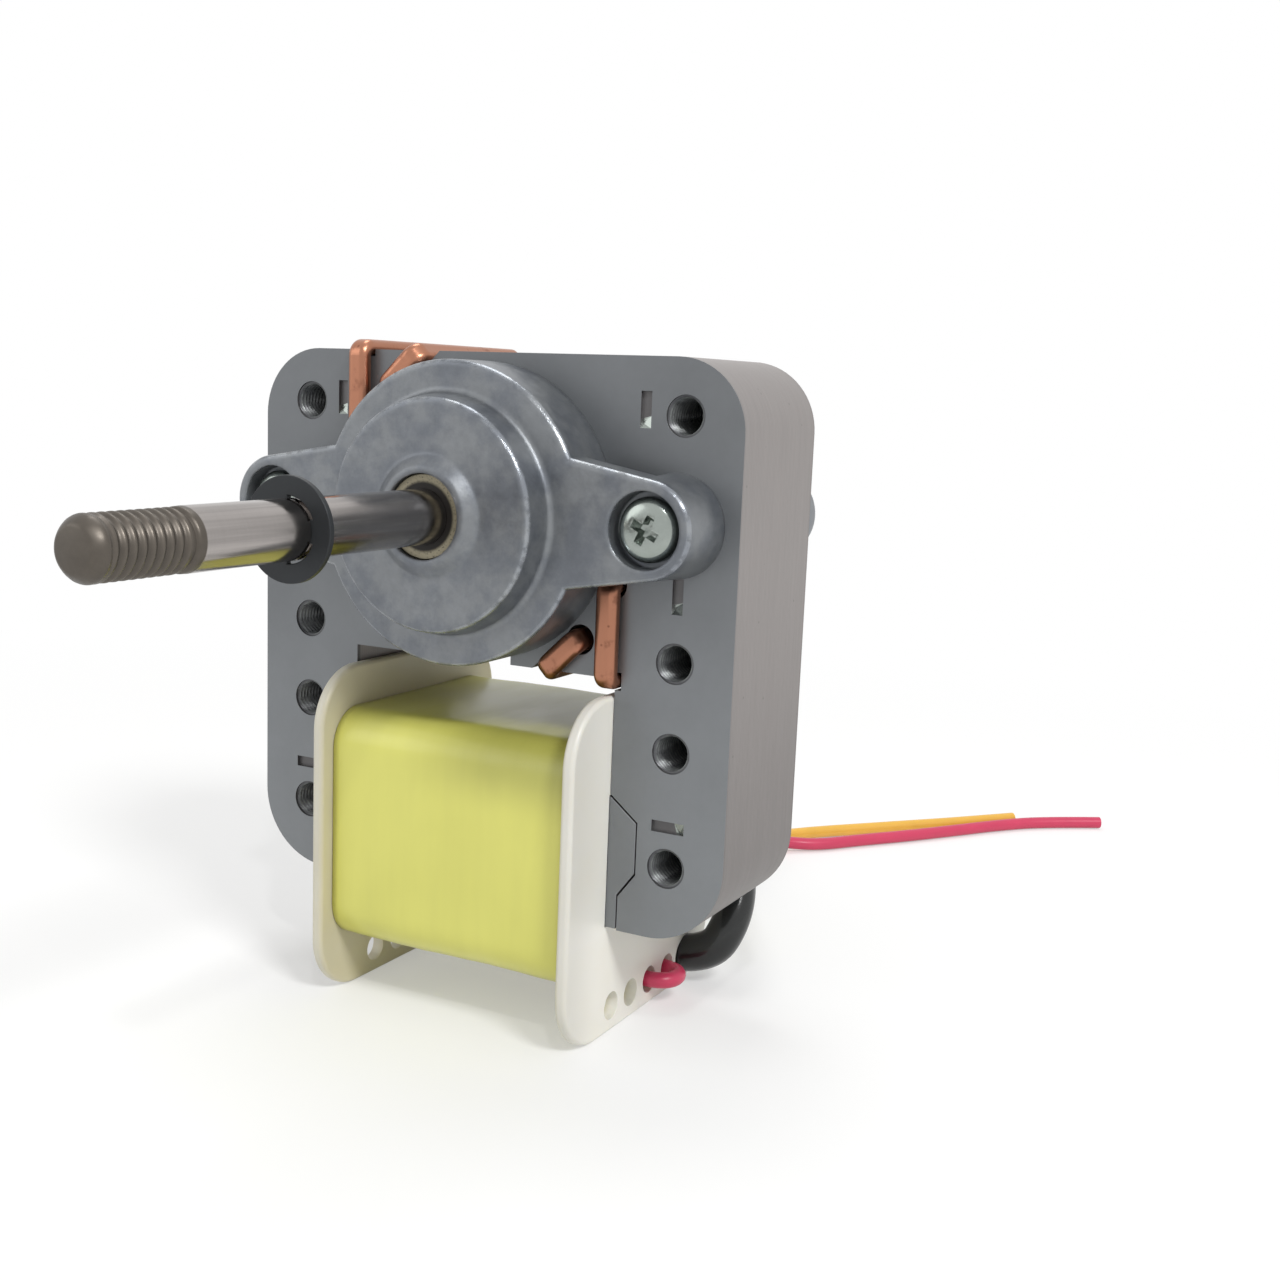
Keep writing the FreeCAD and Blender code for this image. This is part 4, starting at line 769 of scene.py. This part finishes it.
class MOTOR_OT_coil(bpy.types.Operator):
    """Wrap the coil in tape that follows the uneven winding"""
    bl_idname = "motor.coil"
    bl_label = "Taped coil"

    def execute(self, context):
        sizes, colours = context.scene.motor_sizes, context.scene.motor_colours
        finish = tape_finish(colours)
        low, high = TAPE_LOW, TAPE_HIGH
        film, corner, edge, steps = 0.28 * MM, 5.994 * MM, 3 * MM, 36
        shape = bmesh.new()
        ring = chain(shape, [Vector((low.x, y, z)) for y, z in (
            (low.y, low.z), (high.y, low.z), (high.y, high.z), (low.y, high.z))])
        shape.edges.new((ring[3], ring[0]))
        bmesh.ops.bevel(shape, geom=shape.verts[:], offset=corner, offset_type="OFFSET",
                        segments=9, profile=0.5, affect="VERTICES", material=-1)
        long_sides = [e for e in shape.edges if e.calc_length() > 4 * MM]
        bmesh.ops.subdivide_edges(shape, edges=long_sides, cuts=26)
        bmesh.ops.spin(shape, geom=shape.edges[:] + shape.verts[:], cent=(0, 0, 0),
                       axis=(1, 0, 0), dvec=((high.x - low.x) / steps, 0, 0), angle=0,
                       steps=steps)
        closed(shape)
        middle = (low + high) / 2
        for vertex in shape.verts:
            spot = vertex.co - middle
            rim = min(1, (vertex.co.x - low.x) / edge, (high.x - vertex.co.x) / edge)
            # Waves about 16 mm long, and ripples about 4 mm apart that run round the coil
            slow = Vector((spot.x, spot.y * 0.6, spot.z * 0.6)) * 62
            wave = noise.noise(slow + Vector((3, 1, 7)))
            ripple = noise.noise(Vector((spot.x * 260, spot.y * 40, spot.z * 40)))
            sink = sizes.tape_swell * (0.55 - 0.9 * wave * rim - 0.22 * ripple * rim)
            vertex.co -= Vector((0, spot.y, spot.z)).normalized() * max(0, sink)
        mesh = mesh_from(shape, "tape_wrapped", 60)
        tape = piece("tape_wrapped", mesh, finish, "stator", "tape", "tape_wrap")
        wall = tape.modifiers.new("film", "SOLIDIFY")
        wall.thickness, wall.offset = film, -1
        dress(plain_metal("copper_wire", colours.copper, 0.9, 0.35, 0.4 * MM, 0.02 * MM),
              "coil_winding")
        return {"FINISHED"}


# The routes of the sleeve and the leads, in the millimetres of row(). In the sleeve each lead's
# line lies STEP from the sleeve's own. SLEEVED and FREE are how high the line of the sleeve and
# the line of a lead are where they lie on the floor.
STEP = 1.36
SLEEVED, FREE = -75.35, -77.2
SLEEVE_ROUTE = [(17.8, 29, -74.4), (27.6, 29.3, -74.4), (31.4, 31.2, -66.5), (29.0, 37.0, -60.0),
                (23.5, 50.0, -61.5), (17.5, 62.0, -69.0), (11.5, 77.0, SLEEVED),
                (7.5, 90.0, SLEEVED), (6.5, 101.0, SLEEVED)]


def beside(route, step):
    """A route at that distance from another, above it at the start and carried round its bends."""
    points = [Vector(point) for point in route]
    runs = [(after - before).normalized() for before, after in zip(points, points[1:])]
    sides = [Vector((0, 0, 1))]
    for before, after in zip(runs, runs[1:]):
        sides.append(before.rotation_difference(after) @ sides[-1])
    shifted = [points[0] + sides[0] * step]
    for point, before, after in zip(points[1:], sides, sides[1:]):
        shifted.append(point + (before + after) * (step / (1 + before.dot(after))))
    return shifted + [points[-1] + sides[-1] * step]


SHARED = SLEEVE_ROUTE[:-1] + [(6.1, 105.4, SLEEVED)]
RED_ROUTE = [(11.5, 16, -71.2), (17.5, 16, -74.4), (26.6, 16, -74.4), (26.6, 22.5, -74.4),
             (14.4, 22.5, -74.4), (14.4, 29, -74.4 - STEP), *beside(SHARED, -STEP)[1:],
             (9.7, 109.0, FREE + 0.5), (15.7, 113.4, FREE), (22.0, 122.3, FREE),
             (29.3, 131.4, FREE), (36.5, 141.5, FREE), (44.8, 153.6, FREE),
             (52.5, 162.3, FREE), (63.7, 169.9, FREE)]
YELLOW_ROUTE = [(9.0, 29, -71.0), (14.4, 29, -74.4 + STEP), *beside(SHARED, STEP)[1:],
                (6.4, 113.0, FREE + 0.5), (11.5, 122.4, FREE), (19.0, 130.8, FREE),
                (26.7, 139.4, FREE), (34.6, 148.2, FREE), (43.4, 158.8, FREE),
                (45.6, 161.4, FREE)]


def routed(name, route, radius, caps):
    """A smooth curve whose control points are the route's."""
    curve = bpy.data.curves.new(name, "CURVE")
    curve.dimensions = "3D"
    curve.bevel_depth = radius
    curve.bevel_resolution = 5
    curve.resolution_u = 14
    curve.use_fill_caps = caps
    spline = curve.splines.new("NURBS")
    spline.points.add(len(route) - 1)
    for point, place in zip(spline.points, route):
        point.co = (*row(*place), 1)
    spline.order_u = 3
    spline.use_endpoint_u = True
    return curve


class MOTOR_OT_leads(bpy.types.Operator):
    """Lay the two leads in their sleeve along the floor"""
    bl_idname = "motor.leads"
    bl_label = "Leads and sleeve"

    def execute(self, context):
        sizes, colours = context.scene.motor_sizes, context.scene.motor_colours
        strands = plain_metal("copper_strands", colours.copper, 0.9, 0.35, 0.2 * MM, 0.02 * MM)
        for name, route, shade, long in (("red", RED_ROUTE, colours.red, 0.2289),
                                         ("yellow", YELLOW_ROUTE, colours.yellow, 0.1792)):
            finish = cover_finish(name + "_cover", shade)
            lead = piece(name + "_lead_laid",
                         routed(name + "_lead_laid", route, sizes.lead / 2, True), finish,
                         "stator", name + "_cover", name + "_lead")
            end = self.wire_end(name, route, strands)
            row(*route[0])
        finish = cover_finish("black_sleeve", colours.sleeve, 0.2)
        shape = bmesh.new()
        shape.from_mesh(self.drawn("sleeve_tube", SLEEVE_ROUTE, sizes.sleeve / 2))
        closed(shape)
        sleeve = piece("sleeve_laid", mesh_from(shape, "sleeve_laid", 50), finish, "stator",
                       "black_sleeve", "lead_sleeve")
        wall = sleeve.modifiers.new("wall", "SOLIDIFY")
        wall.thickness, wall.offset = 0.3 * MM, -1
        line = self.drawn("sleeve_line", SLEEVE_ROUTE, 0)
        row(*SLEEVE_ROUTE[0])
        return {"FINISHED"}

    def drawn(self, name, route, radius):
        """The mesh of a routed curve: a tube of that radius, or its line where that is 0."""
        holder = bpy.data.objects.new(name, routed(name, route, radius, False))
        bpy.context.scene.collection.objects.link(holder)
        view = bpy.context.evaluated_depsgraph_get()
        mesh = bpy.data.meshes.new_from_object(holder.evaluated_get(view))
        bpy.data.objects.remove(holder)
        return mesh

    def wire_end(self, name, route, finish):
        """Seven copper strands at the cut end, one in the middle and six round it."""
        root_r, tip_r, apart, long, inside = 0.17 * MM, 0.155 * MM, 0.34 * MM, 1.4 * MM, 0.5 * MM
        last, before = row(*route[-1]), row(*route[-2])
        along = (last - before).normalized()
        turn = along.to_track_quat("Z", "Y").to_matrix().to_4x4()
        shape = bmesh.new()
        for strand in range(7):
            reach = apart if strand else 0
            angle = strand * math.tau / 6
            offset = Vector((reach * math.cos(angle), reach * math.sin(angle), -inside))
            made = bmesh.ops.create_cone(shape, cap_ends=True, segments=10, radius1=root_r,
                                         radius2=tip_r, depth=long)["verts"]
            bmesh.ops.transform(shape, matrix=Matrix.Translation(last) @ turn
                                @ Matrix.Translation(offset), verts=made)
        return piece(name + "_lead_strands",
                     mesh_from(shape, name + "_lead_strands", 50), finish, "stator",
                     "copper_wire")


class MOTOR_OT_bearings(bpy.types.Operator):
    """Finish the bearings, what seats them and the rotor"""
    bl_idname = "motor.bearings"
    bl_label = "Bearings and rotor"

    def execute(self, context):
        colours = context.scene.motor_colours
        bronze = bronze_finish(colours)
        spring = plain_metal("spring_steel", colours.spring, 0.95, 0.3, 0.4 * MM, 0.008 * MM)
        felt = soft_finish("felt", colours.felt, 0.5 * MM, 0.2 * MM)
        fibre = soft_finish("fibre", colours.fibre, 0.4 * MM, 0.05 * MM)
        core = plain_metal("rotor_steel", colours.core, 0.8, 0.42, 0.5 * MM, 0.01 * MM)
        cage = plain_metal("cage_metal", colours.cage, 0.85, 0.38, 0.6 * MM, 0.03 * MM)
        for end in ("front", "rear"):
            dress(bronze, end + "_bearing")
            dress(spring, end + "_retainer")
            dress(felt, end + "_oil_felt")
            dress(fibre, end + "_thrust_washer", end + "_spacer")
        dress(core, "rotor_core")
        dress(cage, "rotor_cage")
        return {"FINISHED"}


class MOTOR_OT_stage(bpy.types.Operator):
    """Set the floor, the light and the camera"""
    bl_idname = "motor.stage"
    bl_label = "Stage"

    def execute(self, context):
        scene = context.scene
        self.floor(scene.motor_colours)
        self.world(scene)
        target = row(0, 5, -25)
        # Each lamp's place is given from its target, in metres
        for name, place, size, power in (
                ("key", (0.8, -0.45, 0.85), 0.3, 8.0),
                ("glint", (0.45, -0.6, 0.9), 0.06, 1.6),
                ("fill", (-0.8, -0.7, 0.45), 0.7, 1.6),
                ("top", (-0.2, 0.3, 1.0), 0.5, 3.0)):
            self.lamp(name, target + Vector(place), target, size, power)
        self.camera(scene)
        scene.view_settings.view_transform = "Standard"
        return {"FINISHED"}

    def floor(self, colours):
        """A pale floor that turns into the white background away from the motor."""
        shape = bmesh.new()
        bmesh.ops.create_grid(shape, x_segments=1, y_segments=1, size=3.0)
        ground = bpy.data.objects.new("floor", mesh_from(shape, "floor"))
        bpy.context.scene.collection.objects.link(ground)
        finish = Finish("pale_floor", colours.floor, roughness=0.8)
        grain = finish.cloud(0.3, 2, 0.5)
        finish.feed("Base Color", finish.shift(colours.floor, 0.02 * (grain - 0.5)))
        ground.data.materials.append(finish.material)
        away = (finish.x * finish.x + finish.y * finish.y) ** 0.5
        share = away.step(0.12, 0.4, 0.35, 1.0) * seen(finish.node)
        glow = finish.node("ShaderNodeEmission", None, {"Strength": 1.0})
        blend = finish.node("ShaderNodeMixShader", None, {0: share, 1: finish.shader, 2: glow})
        finish.material.node_tree.links.new(blend.socket, finish.surface.inputs["Surface"])

    def world(self, scene):
        """A white studio whose light is half as strong as the background it shows."""
        world = bpy.data.worlds.new("studio")
        world.use_nodes = True
        scene.world = world
        tree = world.node_tree
        background = tree.nodes["Background"]
        background.inputs["Color"].default_value = (1, 1, 1, 1)
        strength = seen(Out(tree).node) * 0.5 + 0.5
        tree.links.new(strength.socket, background.inputs["Strength"])

    def lamp(self, name, place, target, size, power):
        """A round lamp that looks at the target."""
        light = bpy.data.lights.new(name, "AREA")
        light.shape, light.size, light.energy = "DISK", size, power
        holder = bpy.data.objects.new(name, light)
        bpy.context.scene.collection.objects.link(holder)
        holder.location = place
        holder.rotation_euler = (target - place).to_track_quat("-Z", "Y").to_euler()

    def camera(self, scene):
        """The camera at the photograph's viewing angle."""
        lens = bpy.data.cameras.new("camera")
        lens.lens, lens.sensor_width = 43.94, 36
        lens.shift_x, lens.shift_y = 0.05, 0.007
        lens.clip_start, lens.clip_end = 0.01, 20
        camera = bpy.data.objects.new("camera", lens)
        scene.collection.objects.link(camera)
        camera.location = (0.12713, -0.18066, 0.09754)
        camera.rotation_euler = [math.radians(a) for a in (80.472, -1.943, 29.314)]
        scene.camera = camera


class MOTOR_PT_pieces(bpy.types.Panel):
    """Lists the motor's pieces and what can be changed on them"""
    bl_label = "Fan motor"
    bl_idname = "MOTOR_PT_pieces"
    bl_space_type = "VIEW_3D"
    bl_region_type = "UI"
    bl_category = "Motor"

    def draw(self, context):
        for operator in OPERATORS:
            self.layout.operator(operator.bl_idname)
        for group in (context.scene.motor_sizes, context.scene.motor_colours):
            column = self.layout.column()
            for name in group.__annotations__:
                column.prop(group, name)


OPERATORS = (MOTOR_OT_stage, MOTOR_OT_leads, MOTOR_OT_stack, MOTOR_OT_castings,
             MOTOR_OT_screws, MOTOR_OT_rings, MOTOR_OT_bobbin, MOTOR_OT_coil, MOTOR_OT_shaft,
             MOTOR_OT_clip, MOTOR_OT_bearings)
CLASSES = (MotorSizes, MotorColours, *OPERATORS, MOTOR_PT_pieces)


def register():
    for item in CLASSES:
        bpy.utils.register_class(item)
    bpy.types.Scene.motor_sizes = PointerProperty(type=MotorSizes)
    bpy.types.Scene.motor_colours = PointerProperty(type=MotorColours)


def unregister():
    del bpy.types.Scene.motor_sizes, bpy.types.Scene.motor_colours
    for item in reversed(CLASSES):
        bpy.utils.unregister_class(item)


def main():
    register()
    for operator in OPERATORS:
        getattr(bpy.ops.motor, operator.bl_idname.split(".")[1])()


if __name__ == "__main__":
    main()
